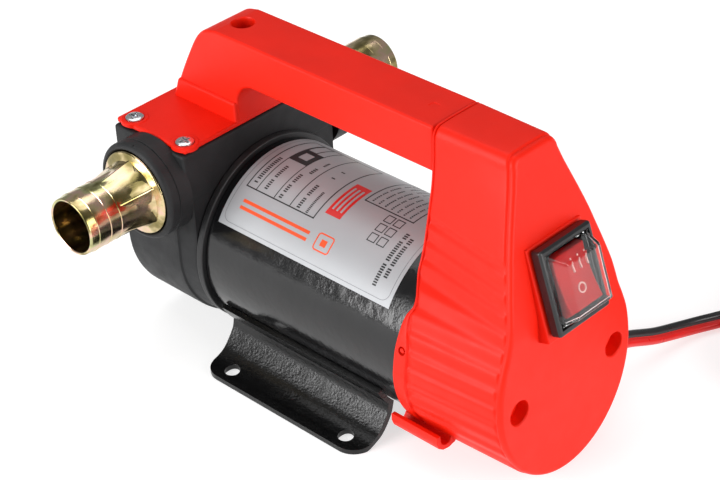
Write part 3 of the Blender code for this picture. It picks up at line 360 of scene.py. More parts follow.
def box(name, low, high, bevel=0.0, steps=4, **where):
    outline = [(low[0], low[1]), (high[0], low[1]), (high[0], high[1]), (low[0], high[1])]
    obj = prism(name, outline, low[2], high[2], axis="Z", **where)
    if bevel:
        soften(obj, bevel, steps)
    return obj


def soften(obj, width, steps=3, degrees=40):
    bevel = obj.modifiers.new("Edges", "BEVEL")
    bevel.width = width
    bevel.segments = steps
    bevel.limit_method = "ANGLE"
    bevel.angle_limit = radians(degrees)
    return obj


def boolean(obj, operation, tools):
    for tool in tools:
        modifier = obj.modifiers.new(operation.title(), "BOOLEAN")
        modifier.operation = operation
        modifier.solver = "EXACT"
        modifier.object = tool
    return obj


def cut(obj, *tools):
    return boolean(obj, "DIFFERENCE", tools)


def join(obj, *tools):
    return boolean(obj, "UNION", tools)


def arc(centre, radius, start, end, steps):
    """Points of an arc in a plane, with angles in degrees, both ends included."""
    angles = [radians(start + (end - start) * i / steps) for i in range(steps + 1)]
    return [(centre[0] + radius * cos(a), centre[1] + radius * sin(a)) for a in angles]


def on_circle(radius, degrees):
    return radius * cos(radians(degrees)), radius * sin(radians(degrees))


def curve_through(points, steps=8):
    """Points of a smooth curve through points of any size, both ends included."""
    known = [Vector(p) for p in points]
    known = [known[0] * 2 - known[1]] + known + [known[-1] * 2 - known[-2]]
    made = []
    for a, b, c, d in zip(known, known[1:], known[2:], known[3:]):
        for i in range(steps):
            t = i / steps
            made.append(0.5 * (2 * b + (c - a) * t + (2 * a - 5 * b + 4 * c - d) * t**2
                + (3 * b - a - 3 * c + d) * t**3))
    made.append(known[-2])
    return [tuple(p) for p in made]


def ease(value):
    value = min(max(value, 0.0), 1.0)
    return value * value * (3 - 2 * value)


FINISHES = {}


def settle(obj, finish, stands_for=(), body="pump", edge=0.0, steps=2, sharp=33):
    """Turns a drawn piece into its final mesh in the frame, gives it its finish and rides it on its body."""
    if edge:
        soften(obj, edge, steps, degrees=38)
    bpy.context.view_layer.update()
    shown = obj.evaluated_get(bpy.context.evaluated_depsgraph_get())
    mesh = bpy.data.meshes.new_from_object(shown)
    mesh.transform(obj.matrix_world)
    mesh.name = obj.name
    mesh.shade_smooth()
    mesh.set_sharp_from_angle(angle=radians(sharp))
    mesh.materials.clear()
    for name in [finish] if isinstance(finish, str) else finish:
        mesh.materials.append(FINISHES[name])
    label = obj.name
    for tool in list(TOOLS):
        bpy.data.objects.remove(tool, do_unlink=True)
    TOOLS.clear()
    piece = new_object(label, mesh)
    even = piece.modifiers.new("Even shading", "WEIGHTED_NORMAL")
    even.keep_sharp = True
    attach(piece, body)
    if stands_for:
        nodes = [stands_for] if isinstance(stands_for, str) else stands_for
        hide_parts(*nodes)
    return piece


# ---- lead

LEAD_R, CORE_R = 0.0036, 0.00182
FIRST_TWIST, TWIST_A_METRE, TWIST_FROM = radians(-53), radians(900), 0.13
LEAD_START_Y = 0.0533
LEAD_EXIT_AT = (0.156, 0.0, -0.026)
LEAD_ROUTE = [(0.156, LEAD_START_Y, -0.0261), (0.1561, 0.0595, -0.027), (0.1565, 0.0655, -0.0291),
    (0.1571, 0.071, -0.0314), (0.1583, 0.08, -0.0349), (0.16, 0.0925, -0.0383), (0.1629, 0.1037, -0.0402),
    (0.1674, 0.113, -0.0404), (0.1735, 0.1257, -0.0404)]
COIL_CENTRE, COIL_MEAN_R, COIL_ROWS = Vector((0.2298, 0.13, 0.0)), 0.038, 4
PLUG_TURN = radians(68)
PLUG_SIZE, PLUG_COLLAR = (0.0164, 0.03, 0.009), 0.007
COIL_OUTER = COIL_MEAN_R + (COIL_ROWS - 1) * LEAD_R
PLUG_RISE = CLEAR + 4 * LEAD_R + CLEAR + PLUG_SIZE[2] / 2
COIL = PUMP @ Matrix.Translation((COIL_CENTRE.x, COIL_CENTRE.y, GROUND)) @ Matrix.Rotation(PLUG_TURN, 4, "Z")


def turns_on_top(start):
    """Share of a turn that leads from the end of the coil's rows to its plug."""
    return ((start - PLUG_TURN) / (2 * pi)) % 1.0


def coil_point(turns, start):
    """A point of the coil after some turns from its start angle: four rows inward, four outward on top, then
    over the top to the plug."""
    row, part = int(turns), turns - int(turns)
    shift = ease((part - 0.7) / 0.3)
    low, high = CLEAR + LEAD_R, CLEAR + 3 * LEAD_R
    if turns < 2 * COIL_ROWS:
        inward = row < COIL_ROWS
        steps = row if inward else 2 * COIL_ROWS - 1 - row
        last = row in (COIL_ROWS - 1, 2 * COIL_ROWS - 1)
        radius = COIL_OUTER - 2 * LEAD_R * (steps + (0 if last else shift if inward else -shift))
        height = low if inward else high
        if row == COIL_ROWS - 1:
            height = low + (high - low) * shift
    else:
        share = (turns - 2 * COIL_ROWS) / turns_on_top(start)
        radius = COIL_OUTER + (COIL_MEAN_R - COIL_OUTER) * ease((share - 0.25) / 0.75)
        height = high + (PLUG_RISE - high) * ease(share / 0.7)
    angle = start - 2 * pi * turns
    return COIL_CENTRE + Vector((radius * cos(angle), radius * sin(angle), GROUND + height))


def lead_path():
    """Points down the middle of the lead, from its strain relief to its plug, about the motor axis."""
    path = [Vector(p) for p in curve_through(LEAD_ROUTE, 3)]
    last = path[-1]
    away = last - COIL_CENTRE
    distance = hypot(away.x, away.y)
    start = atan2(away.y, away.x) - acos(COIL_OUTER / distance)
    touch = coil_point(0.0, start)
    path += [last.lerp(touch, i / 5) for i in range(1, 5)]
    whole = 2 * COIL_ROWS + turns_on_top(start)
    count = 30 * (2 * COIL_ROWS) + 8
    path += [coil_point(whole * i / count, start) for i in range(count + 1)]
    return [PUMP @ p for p in path]


def make_lead():
    """Two round cores side by side, one red and one black, swept down the lead's path with a slow twist."""
    path = lead_path()
    shape = []
    for side, start in ((1, -150), (-1, 30)):
        shape += [(side * CORE_R * 0.96 + CORE_R * cos(radians(start + 300 * i / 13)),
            CORE_R * sin(radians(start + 300 * i / 13))) for i in range(14)]
    bm = bmesh.new()
    rings, travelled = [], 0.0
    for i, middle in enumerate(path):
        before, after = path[max(i - 1, 0)], path[min(i + 1, len(path) - 1)]
        along = (after - before).normalized()
        side = along.cross(Vector((0, 0, 1))).normalized()
        up = side.cross(along)
        travelled += (middle - before).length if i else 0.0
        twist = FIRST_TWIST + TWIST_A_METRE * max(travelled - TWIST_FROM, 0.0)
        across = side * cos(twist) + up * sin(twist)
        over = up * cos(twist) - side * sin(twist)
        rings.append([bm.verts.new(middle + across * a + over * b) for a, b in shape])
    skin(bm, rings)
    for number, face in enumerate(bm.faces):
        if len(face.verts) == 4:
            face.material_index = 0 if number % len(shape) < len(shape) // 2 else 1
    mesh = mesh_of("power_lead", bm)
    mesh.shade_smooth()
    mesh.set_sharp_from_angle(angle=radians(50))
    for name in ("lead_red", "lead_black"):
        mesh.materials.append(FINISHES[name])
    lead = new_object("power_lead", mesh)
    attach(lead, "pump")
    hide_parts("lead_tube", "lead_coil")
    plug = make_plug()


def make_plug():
    """A two-pole connector: housing with finger grooves, a collar round the lead, and two contacts."""
    width, length, height = PLUG_SIZE
    low = PLUG_RISE - height / 2

    def block(name, x, half, ys, zs, bevel=0.0):
        return box(name, (x - half, ys[0], zs[0]), (x + half, ys[1], zs[1]), bevel, base=COIL)

    housing = block("connector_housing", COIL_MEAN_R, width / 2, (-length, 0.0), (low, low + height), 0.0011)
    join(housing, turned("collar", [(-0.001, 0.0046), (PLUG_COLLAR - 0.0008, 0.0044), (PLUG_COLLAR, 0.0037)],
        "Y", 48, at=(COIL_MEAN_R, 0, PLUG_RISE), base=COIL))
    for y in [-0.004 - 0.0022 * i for i in range(4)]:
        for sign in (-1, 1):
            x = COIL_MEAN_R + sign * width / 2
            cut(housing, block("grip_groove", x, 0.0005, (y - 0.0005, y + 0.0005),
                (low - 0.001, low + 0.012)))
    poles = [(colour, COIL_MEAN_R + sign * width / 4) for sign, colour in ((-1, "black"), (1, "red"))]
    for colour, x in poles:
        mouth = (-length - 0.002, -0.012), (PLUG_RISE - 0.0026, PLUG_RISE + 0.0026)
        cut(housing, block(f"{colour}_mouth", x, 0.0028, *mouth))
    cut(housing, rod("lead_way", -0.008, PLUG_COLLAR + 0.001, LEAD_R + 0.0001, "Y", 32,
        at=(COIL_MEAN_R, 0, PLUG_RISE), base=COIL))
    made = [settle(housing, "black_plastic", "lead_plug", edge=0.00015)]
    for colour, x in poles:
        reach = (-length + 0.002, -0.0123), (PLUG_RISE - 0.0007, PLUG_RISE + 0.0007)
        contact = block(f"contact_{colour}_pole", x, 0.0019, *reach, 0.0003)
        made.append(settle(contact, "brass", f"plug_contact_{colour}"))
    return made


def make_grommet():
    """The tapered strain relief, ringed, that holds the lead in the cap."""
    profile = [(0.0283, LEAD_R + 0.0002), (0.0284, 0.0064), (0.0296, 0.0064), (0.0297, 0.0049),
        (0.0397, 0.0049), (0.0398, 0.0066), (0.0408, 0.0067), (0.0414, 0.0064), (0.0418, 0.0058)]
    for i in range(4):
        y = 0.0424 + 0.0026 * i
        r = 0.0057 - 0.00022 * i
        profile += [(y, r - 0.0006), (y + 0.0007, r - 0.0006), (y + 0.0009, r), (y + 0.0018, r - 0.0001)]
    profile += [(LEAD_START_Y - CLEAR, LEAD_R + 0.001), (LEAD_START_Y - CLEAR, LEAD_R + 0.0002)]
    settle(turned("strain_relief", profile, "Y", 64, True, at=LEAD_EXIT_AT), "rubber", "lead_grommet")


# ---- pump head


def make_body():
    sections = [(HEAD_FRONT, HEAD_R - 0.0016), (HEAD_FRONT + 0.0003, HEAD_R - 0.0008),
        (HEAD_FRONT + 0.0009, HEAD_R - 0.0002), (HEAD_FRONT + 0.0018, HEAD_R), (0.003, HEAD_R),
        (0.0046, HEAD_R - 0.0002), (0.0052, HEAD_R - 0.001), (HEAD_BACK - 0.002, 0.0411),
        (HEAD_BACK - 0.0006, 0.0408), (HEAD_BACK, 0.0402)]
    rings = []
    for x, radius in sections:
        outline = arc((0, 0), radius, 180, 360, 72) + [(radius, 0.037), (-radius, 0.037)]
        rings.append([(x, y, z) for y, z in outline])
    body = loft("body_casting", rings)
    join(body, box("block", (HEAD_FRONT - 0.0002, -0.0436, BLOCK_LOW), (HEAD_BACK + 0.0002, 0.0436,
        BLOCK_TOP), bevel=0.0014))
    for axis in ("Y", "-Y"):
        join(body, turned("boss", [(PLATE_Y + 0.0005, BOSS_R), (0.0489, BOSS_R), (0.0491, BOSS_R - 0.0004),
            (0.0495, BOSS_R - 0.0004), (0.0497, BOSS_R), (BOSS_END - 0.0026, BOSS_R)]
            + arc((BOSS_END - 0.0022, BOSS_R - 0.0022), 0.0022, 90, 0, 6), axis, 112, at=PORT_AT))
    cut(body, rod("chamber", HEAD_FRONT - 0.002, CHAMBER_BACK + CLEAR, CHAMBER_R, at=(0, 0, -ECCENTRIC)),
        rod("recess", HEAD_FRONT - 0.002, CHAMBER_FRONT, 0.0395, steps=96),
        rod("shaft_bore", 0.0, HEAD_BACK + 0.002, 0.0056, steps=32),
        rod("seal_bore", 0.0092, HEAD_BACK + 0.002, 0.0098, steps=40))
    for side, turn in ((-1, "-Y"), (1, "Y")):
        cut(body, turned("port", [(0.01, 0.0128), (0.0477, 0.0128), (0.0477, 0.0158), (0.0495, 0.0158),
            (0.0495, FLANGE_R + 0.0004), (BOSS_END - 0.0006, FLANGE_R + 0.0004),
            (BOSS_END + 0.001, FLANGE_R + 0.002)], turn, 96, at=PORT_AT))
        window = sorted((side * 0.0105, side * 0.0185))
        cut(body, box("window", (-0.015, window[0], 0.01), (0.004, window[1], PORT_Z)))
        cut(body, box("parting_line", (PORT_X - 0.0002, side * 0.053 - 0.0035, PORT_Z + BOSS_R - 0.0003),
            (PORT_X + 0.0002, side * 0.053 + 0.0005, PORT_Z + BOSS_R + 0.002)))
    cut(body, rod("valve_bore", 0.036, BLOCK_TOP + 0.002, 0.0052, "Z", 32, at=(PORT_X, 0, 0)))
    for x, y in PLATE_SCREWS:
        cut(body, rod("plate_tap", BLOCK_TOP - 0.011, BLOCK_TOP + 0.002, 0.002, "Z", 16, at=(x, y, 0)))
    settle(body, "cast_black", "pump_body", edge=0.0005, steps=3)


def make_cover():
    face = COVER_FRONT
    cover = turned("cover_plate", [(face, 0.0372), (face + 0.0003, 0.038), (face + 0.0008, 0.0387),
        (face + 0.0015, 0.039), (CHAMBER_FRONT - CLEAR, 0.039)], steps=128)
    for inner, outer in ((0.0205, 0.0211), (0.029, 0.0294)):
        cut(cover, washer("turned_groove", face - 0.001, face + 0.0004, inner, outer))
    cut(cover, rod("hub", CHAMBER_FRONT - 0.003, CHAMBER_FRONT, SHAFT_R + 0.0006, steps=32))
    angles = [30 + 60 * i for i in range(6)]
    for angle in angles:
        y, z = on_circle(COVER_SCREW_R - 0.0001, angle)
        for end, radius, steps in ((-0.02, 0.0019, 16), (-0.0268, 0.0034, 32)):
            cut(cover, rod("screw_hole", face - 0.001, end, radius, at=(0, y, z), steps=steps))
    settle(cover, "cast_black", "pump_cover", edge=0.0002)
    for i, angle in enumerate(angles):
        y, z = on_circle(COVER_SCREW_R, angle)
        screw = turned(f"socket_screw_{i + 1}", [(face, 0.0024), (face + 0.0002, 0.0028),
            (face + 0.0006, 0.003), (-0.0271, 0.003), (-0.0271, 0.0015), (-0.013, 0.0015), (-0.0125, 0.001)],
            steps=32, at=(0, y, z))
        cut(screw, prism("key", arc((0, 0), 0.0015, 0, 300, 5), face - 0.001, face + 0.0012, at=(0, y, z)))
        settle(screw, "zinc", f"cover_screw_{i + 1}")


def make_tail(side, axis):
    """A hose tail: a flange, a hexagon that fades into the round, and three fine barbs with a rolled lip."""
    ridges = [0.0727, 0.0782, 0.0843]
    profile = [(0.033, 0.0124), (0.0498, 0.0124), (0.05, FLANGE_R - 0.0002), (0.0502, FLANGE_R),
        (0.0546, FLANGE_R)]
    profile += arc((0.0546, FLANGE_R - 0.0008), 0.0008, 75, 0, 4)
    profile += [(0.0557, 0.0164), (0.0562, 0.0146), (0.0575, 0.0136), (0.06, 0.0131), (0.065, 0.01295)]
    for ridge in ridges:
        profile += [(ridge - 0.002, BARB_R), (ridge - 0.0005, BARB_R + 6e-5), (ridge - 0.0001, BARB_R + 6e-5),
            (ridge, BARB_R - 4e-5), (ridge + 0.0001, BARB_R - 0.0002), (ridge + 0.0003, BARB_R - 0.00012)]
    lip = BARB_TIP - 0.0006
    profile += [(lip - 0.0004, BARB_R - 0.0004)]
    profile += arc((lip, BARB_R - 0.001), 0.0006, 80, -60, 6)
    profile += [(BARB_TIP - 0.0012, BARB_BORE), (BARB_TIP - 0.02, BARB_BORE - 0.0003),
        (0.033, BARB_BORE - 0.0006)]
    tail = turned(f"{side}_tail", profile, axis, 120, True, at=PORT_AT)
    sections = [(0.0552, 0.0158), (0.059, 0.0152), (0.0655, 0.01395), (0.072, 0.0128)]
    rings = [[(x, y, along) for x, y in arc((0, 0), radius, 30, 330, 5)] for along, radius in sections]
    join(tail, soften(loft("hexagon", rings, at=PORT_AT, turn=TURNS[axis]), 0.0006, 3, 30))
    cut(tail, rod("bore", 0.03, 0.08, 0.0106, axis, 96, at=PORT_AT))
    settle(tail, "yellow_zinc", f"{side}_barb", sharp=28)


# ---- motor


def make_motor():
    rim = [(HEAD_BACK + CLEAR, RIM_R - 0.0006), (0.0143, RIM_R - 0.0001), (0.0145, RIM_R)]
    for i in range(3):
        x = 0.0149 + 0.0007 * i
        rim += [(x, RIM_R), (x + 0.0001, RIM_R - 0.00016), (x + 0.0002, RIM_R)]
    rim += [(0.0168, RIM_R), (0.0171, RIM_R - 0.0002), (0.0173, RIM_R - 0.0006), (0.0173, 0.0372),
        (0.023, 0.0372)]
    rim += [(0.023, 0.0098), (HEAD_BACK + CLEAR, 0.0098)]
    bell = turned("front_rim", rim, steps=160, ring=True)
    for sign in (-1, 1):
        cut(bell, rod("bolt_tap", 0.017, 0.025, 0.0021, at=(0, sign * 0.0073, sign * 0.0344), steps=16))
    settle(bell, "rim_black", "front_end_bell")
    inner, edge = TUBE_R - TUBE_WALL, 0.0003
    tube = turned("motor_shell", [(TUBE_START, TUBE_R - edge), (TUBE_START + edge * 0.3, TUBE_R - edge * 0.3),
        (TUBE_START + edge, TUBE_R), (0.05, TUBE_R), (0.085, TUBE_R), (0.118, TUBE_R), (TUBE_END, TUBE_R),
        (TUBE_END, inner), (TUBE_START, inner)], steps=192, ring=True)
    settle(tube, "gloss_black", "motor_tube")


def helix(name, at, low, high, radius=0.0034, wire=0.00045, turns=4, steps=32, sides=10):
    """A coil spring's wire, from one height to another about an upright line."""
    rings, count = [], turns * steps
    climb = (high - low - 2 * wire) / (2 * pi * turns)
    for i in range(count + 1):
        angle = 2 * pi * i / steps
        out = Vector((cos(angle), sin(angle), 0.0))
        along = Vector((-radius * sin(angle), radius * cos(angle), climb)).normalized()
        middle = out * radius + Vector((0, 0, low + wire + climb * angle))
        over = along.cross(out)
        rings.append([middle + (out * a + over * b) * wire for a, b in arc((0, 0), 1, 0, 324, sides - 1)])
    return loft(name, rings, at=at)


def make_springs():
    """The springs behind the bypass poppet and the brushes."""
    for node, x, low, high, fixed, joint, travel in (("bypass_spring", PORT_X, 0.0415, 0.0478, 0.0478,
            "bypass_lift", 0.0025), ("brush_spring_upper", BRUSH_MIDDLE, 0.0218, 0.0297, 0.0297,
            "upper_brush_travel", 0.003), ("brush_spring_lower", BRUSH_MIDDLE, -0.0297, -0.0218, -0.0297,
            "lower_brush_travel", 0.003)):
        piece = settle(helix(f"{node}_wire", (x, 0, 0), low, high), "steel", node)
        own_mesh(piece)


def make_foot(side):
    """A pressed steel wing that hugs the tube, flares out and lies flat round two holes."""
    sign = -1 if side == "inlet" else 1
    thick, low, reach = 0.0022, GROUND, 0.0521
    outer = arc((0, 0), TUBE_R + CLEAR + thick, 207, 221, 10)
    flare = curve_through([outer[-1], (-0.0329, -0.0318), (-0.0358, -0.0362), (-0.0389, -0.0396),
        (-0.0425, -0.0415), (-0.046, low + thick), (-0.049, low + thick)], 5)[1:]
    hug = arc((0, 0), TUBE_R + CLEAR, 207, 224, 10)
    under = curve_through([(-0.0475, low), (-0.0445, low), (-0.0398, -0.0427), (-0.0362, -0.0408),
        (-0.0326, -0.0368), (-0.0303, -0.0327), hug[-1]], 5)[:-1]
    outline = outer + flare + [(-reach, low + thick), (-reach, low)] + under + hug[::-1]
    foot = prism(f"{side}_side_foot", [(sign * -y, z) for y, z in outline], FOOT_X[0], FOOT_X[1])
    for x in FOOT_HOLES_X:
        cut(foot, rod("foot_hole", low - 0.002, low + 0.006, 0.0033, "Z", 48, at=(x, sign * 0.0453, 0)))
    radius = 0.009
    for x, way in ((FOOT_X[0], 1), (FOOT_X[1], -1)):
        centre = (x + way * radius, sign * (reach - radius))
        corner = [(x - way * 0.002, sign * 0.0545), (centre[0], sign * 0.0545)]
        turn = arc((0, 0), 1.0, 0, 90, 16)
        corner += [(centre[0] - way * radius * b, centre[1] + sign * radius * a) for a, b in turn]
        corner += [(x - way * 0.002, centre[1])]
        cut(foot, prism("foot_corner", corner, low - 0.002, low + 0.004, axis="Z"))
    settle(foot, "wrinkle_black", f"foot_{side}", edge=0.0004, steps=3)


# ---- label


class Print:
    """Flat shapes laid on the motor tube: x along it and a turn in degrees about it, 90 at the top."""

    def __init__(self, name, inner, thick):
        self.name, self.inner, self.outer = name, inner, inner + thick
        self.bm = bmesh.new()

    def point(self, x, degrees, radius):
        y, z = on_circle(radius, degrees)
        return self.bm.verts.new((x, y, z))

    def patch(self, x0, x1, a0, a1):
        """A closed slab between two places along and two turns about the tube."""
        count = max(1, ceil(abs(a1 - a0) / 1.5))
        rings = []
        for i in range(count + 1):
            angle = a0 + (a1 - a0) * i / count
            rings.append([self.point(x0, angle, self.inner), self.point(x1, angle, self.inner),
                self.point(x1, angle, self.outer), self.point(x0, angle, self.outer)])
        skin(self.bm, rings)

    def line(self, points, width):
        """A thin closed line through (x, degrees) points."""
        flat = [Vector((x, radians(a) * self.inner)) for x, a in points]
        count = len(flat)
        rings = []
        for i in range(count):
            along = (flat[(i + 1) % count] - flat[i - 1]).normalized()
            out = Vector((-along.y, along.x)) * width / 2
            ring = []
            for spot, radius in ((flat[i] - out, self.inner), (flat[i] + out, self.inner),
                    (flat[i] + out, self.outer), (flat[i] - out, self.outer)):
                ring.append(self.point(spot.x, math.degrees(spot.y / self.inner), radius))
            rings.append(ring)
        skin(self.bm, rings + rings[:1], ends=False)

    def done(self, finish):
        return settle(place(self.name, mesh_of(self.name, self.bm)), finish, sharp=20)


def between(last, first):
    """Points between two (x, degrees) points, close enough together to lie on the tube's curve."""
    count = max(1, int(abs(last[1] - first[1]) / 2.0))
    return [(last[0] + (first[0] - last[0]) * i / count, last[1] + (first[1] - last[1]) * i / count)
        for i in range(1, count)]


def rounded(x0, x1, a0, a1, radius, steps=5):
    """(x, degrees) points of a rounded rectangle on the tube."""
    turn = radius * math.degrees(1 / TUBE_R)
    corners = [(x1 - radius, a1 - turn, 0), (x0 + radius, a1 - turn, 90), (x0 + radius, a0 + turn, 180),
        (x1 - radius, a0 + turn, 270)]
    points = []
    for x, a, start in corners:
        angles = [radians(start + 90 * i / steps) for i in range(steps + 1)]
        ring = [(x + radius * cos(angle), a + turn * sin(angle)) for angle in angles]
        if points:
            points += between(points[-1], ring[0])
        points += ring
    return points + between(points[-1], points[0])


def make_label():
    """A foil label round the upper half of the motor: tables, bars and blocks, with no lettering."""
    low, high = 31.6, 148.4
    start, end = 0.02095, 0.1155
    sheet = Print("label_foil", TUBE_R + 1e-5, 9e-5)
    sheet.patch(start, end, low, high)
    sheet.done("foil")
    level, ink = TUBE_R + 0.00011, 3e-5

    border = Print("label_border", level, ink)
    border.line(rounded(start + 0.0018, end - 0.0018, low + 2.6, high - 2.6, 0.0035), 0.00022)
    border.done("ink_grey")

    black = Print("label_print_black", level, ink)

    def frame_of(x0, x1, a0, a1, width=0.00055):
        half = math.degrees(width / 2 / TUBE_R)
        for angle in (a1, a0):
            black.patch(x0, x1, angle - half, angle + half)
        for x in (x0, x1):
            black.patch(x - width / 2, x + width / 2, a0 - half, a1 + half)

    def words(x, height, a_start, lengths, gap=1.5, pitch=1.55):
        """A row of plain ticks in place of words, running up over the tube from its lower end."""
        angle = a_start
        for length in lengths:
            for i in range(max(1, round(length / pitch))):
                black.patch(x - height / 2, x + height / 2, angle - i * pitch - pitch * 0.62,
                    angle - i * pitch)
            angle -= length + gap

    frame_of(0.0257, 0.0635, 62.0, 122.0)
    for x in (0.031, 0.041, 0.05):
        black.patch(x - 0.00022, x + 0.00022, 62.0, 122.0)
    for row in ((0.0284, 0.0019, 118.0, (1.5, 19.5)), (0.0347, 0.0017, 119.0, (8.0, 11.0)),
            (0.0435, 0.0017, 120.0, (3.0, 6.5, 8.0)), (0.046, 0.0017, 97.0, (6.5,)),
            (0.0468, 0.001, 87.0, (6.0,), 1.5, 1.1), (0.054, 0.0017, 120.5, (8.0, 10.0)),
            (0.059, 0.0012, 121.0, (17.0,), 1.5, 1.1), (0.056, 0.0019, 93.0, (2.2, 0.5), 6.0)):
        words(*row)
    black.patch(0.0312, 0.0408, 78.0, 93.0)
    frame_of(0.0315, 0.0365, 62.5, 78.0)
    frame_of(0.0766, 0.1023, 40.0, 97.0)
    for i in range(7):
        words(0.0795 + 0.0033 * i, 0.0008, 95.0, [(7, 5, 9), (5, 8, 6), (9, 4, 7)][i % 3], 1.3)
        words(0.0795 + 0.0033 * i, 0.0008, 68.0, [(6, 8), (9, 5), (4, 9)][i % 3], 1.3)
    for x in (0.093, 0.098):
        for angle in (102.0, 109.4, 116.8):
            frame_of(x - 0.0018, x + 0.0018, angle - 2.6, angle + 2.6, 0.00042)
    words(0.105, 0.0019, 140.5, (13.5, 13.5, 4.5), 2.0)
    words(0.1082, 0.0019, 134.0, (6.0, 13.5, 4.5), 1.5)
    black.done("ink_black")

    red = Print("label_print_red", level, ink)
    red.patch(0.0665, 0.0746, 88.0, 116.0)
    red.done("ink_red")

    pale = Print("label_print_pale", level + ink + 2e-5, ink)
    for x in (0.0684, 0.0706, 0.0728):
        pale.patch(x - 0.0005, x + 0.0005, 92.0, 112.0)
    pale.patch(0.0336, 0.0384, 82.0, 89.0)
    pale.done("foil")

    orange = Print("label_print_orange", level, ink)
    for angle in (130.6, 134.9):
        orange.patch(0.0285, 0.066, angle - 1.0, angle + 1.0)
    orange.line(rounded(0.0705, 0.0785, 127.5, 137.5, 0.0012), 0.0006)
    orange.patch(0.073, 0.076, 130.5, 134.5)
    orange.done("ink_orange")


# ---- handle


def make_handle():
    """Plate, raked front leg and straight grip in one moulding, and its four screws."""
    leg_back = PLATE_X[1]
    front = curve_through([(-0.0238, PLATE_TOP - 0.0012), (-0.02, 0.065), (-0.0125, 0.0796),
        (-0.0078, 0.0872), (-0.003, 0.0915), (0.0035, GRIP_TOP)], 6)
    side = front + [(0.006, GRIP_TOP), (GRIP_END, GRIP_TOP), (GRIP_END, GRIP_UNDER)]
    side += arc((leg_back + 0.0105, GRIP_UNDER - 0.0105), 0.0105, 90, 180, 18)
    side += [(leg_back, PLATE_TOP - 0.0012)]
    handle = prism("handle_moulding", side, -GRIP_HALF, GRIP_HALF, axis="Y")
    soften(handle, 0.0034, 7, degrees=50)
    plate = box("plate", (PLATE_X[0], -PLATE_Y, PLATE_LOW), (PLATE_X[1], PLATE_Y, PLATE_TOP), bevel=0.0008,
        steps=3)
    foot = prism("leg_foot", [(-0.0242, 0.054), (-0.0205, 0.0642), (leg_back - 0.0002, 0.0642),
        (leg_back - 0.0002, 0.054)], -0.014, 0.014, axis="Y")
    soften(foot, 0.0012, 4)
    tenon = box("tenon", (GRIP_END - 0.004, -0.01, 0.0766), (0.129, 0.01, 0.0904), bevel=0.001)
    join(handle, plate, foot, tenon)
    for x, y in PLATE_SCREWS:
        join(handle, turned("screw_pad", [(0.054, 0.0058), (PLATE_TOP, 0.0058), (PLATE_TOP + 0.0003, 0.0054)],
            "Z", 48, at=(x, y, 0)))
        sign = 1 if y > 0 else -1
        join(handle, rod("corner_bulge", PLATE_LOW + 0.0001, PLATE_TOP - 0.0002, 0.0052, "Z", 48,
            at=(x, y - sign * 0.0005, 0)))
    cut(handle, turned("grip_recess", [(0.08, 0.0044), (GRIP_TOP - 0.001, 0.0047), (GRIP_TOP - 0.0002, 0.005),
        (GRIP_TOP + 0.002, 0.0066)], axis="Z", at=(0.007, 0, 0), steps=64))
    cut(handle, box("clip_mark", (0.1085, -0.0016, GRIP_TOP - 0.00025), (0.112, 0.0016, GRIP_TOP + 0.001),
        bevel=0.0002))
    for x, y in PLATE_SCREWS:
        cut(handle, rod("screw_hole", 0.05, 0.06, 0.0024, "Z", 24, at=(x, y, 0)))
        cut(handle, turned("screw_sink", [(0.0538, 0.0022), (PLATE_TOP + 0.0003, 0.0042),
            (PLATE_TOP + 0.002, 0.0042)], "Z", 48, at=(x, y, 0)))
    settle(handle, "red_plastic", "handle", edge=0.0003, steps=3)
    for i, (x, y) in enumerate(PLATE_SCREWS):
        top = PLATE_TOP + 0.0012
        screw = turned(f"plate_screw_{i + 1}", [(BLOCK_TOP - 0.01, 0.0012), (BLOCK_TOP - 0.0095, 0.0016),
            (0.0541, 0.0016), (top - 0.0011, 0.0038), (top - 0.0007, 0.0038), (top - 0.0003, 0.0033),
            (top - 0.0001, 0.0022), (top, 0.001)], "Z", 48, at=(x, y, 0))
        cross_cuts(screw, top, (x, y, 0), 0.4 + 0.5 * i)
        settle(screw, "zinc", f"handle_screw_{i + 1}", edge=0.0001)


def cross_cuts(screw, top, at, turn, reach=0.0024, half=0.0005, depth=0.0015):
    """A cross recess in an upright screw's head."""
    for angle in (turn, turn + pi / 2):
        cut(screw, box("cross", (-reach, -half, top - depth), (reach, half, top + 0.002), at=at,
            turn=(0, 0, angle)))


# ---- end cap

REAR_WIDTH = [(0.0, 0.0425), (0.01, 0.0413), (0.02, 0.0375), (0.026, 0.0336), (0.031, 0.029), (0.035, 0.025),
    (0.0385, 0.0226), (0.045, 0.0202), (0.052, 0.0185), (0.06, 0.0168), (0.069, 0.015), (0.078, 0.0141),
    (0.089, 0.0138)]
FRONT_WIDTH = [(0.0, 0.0391), (0.006, 0.0387), (0.012, 0.0377), (0.019, 0.0354), (0.025, 0.0331),
    (0.032, 0.0313), (0.037, 0.0303), (0.043, 0.0288), (0.048, 0.0274), (0.054, 0.0256), (0.06, 0.0238),
    (0.066, 0.0217), (0.072, 0.0194), (0.078, 0.017), (0.083, 0.015), (0.089, 0.013)]
REAR_EDGE = [(-0.0425, 0.1237), (-0.01, 0.1237), (0.006, 0.1242), (0.018, 0.1247), (0.0235, 0.1254),
    (0.0265, 0.1268), (0.029, 0.1262), (0.032, 0.1242), (0.0355, 0.1217), (0.039, 0.121), (0.089, 0.121)]
FRONT_ROUND = (0.0391, 0.0434)
RIB_LOW, RIB_PITCH, RIBS, RIB_DEPTH = -0.023, 0.0071, 11, 0.0009
RIB_CREST = 0.72
RIM_INSET, RIM_BACK = 0.0022, 0.002
SIDE_TOP, SIDE_LOW = 0.089, -0.025
COLLAR_PIN_AT = (0.1282, 0, 0.011)


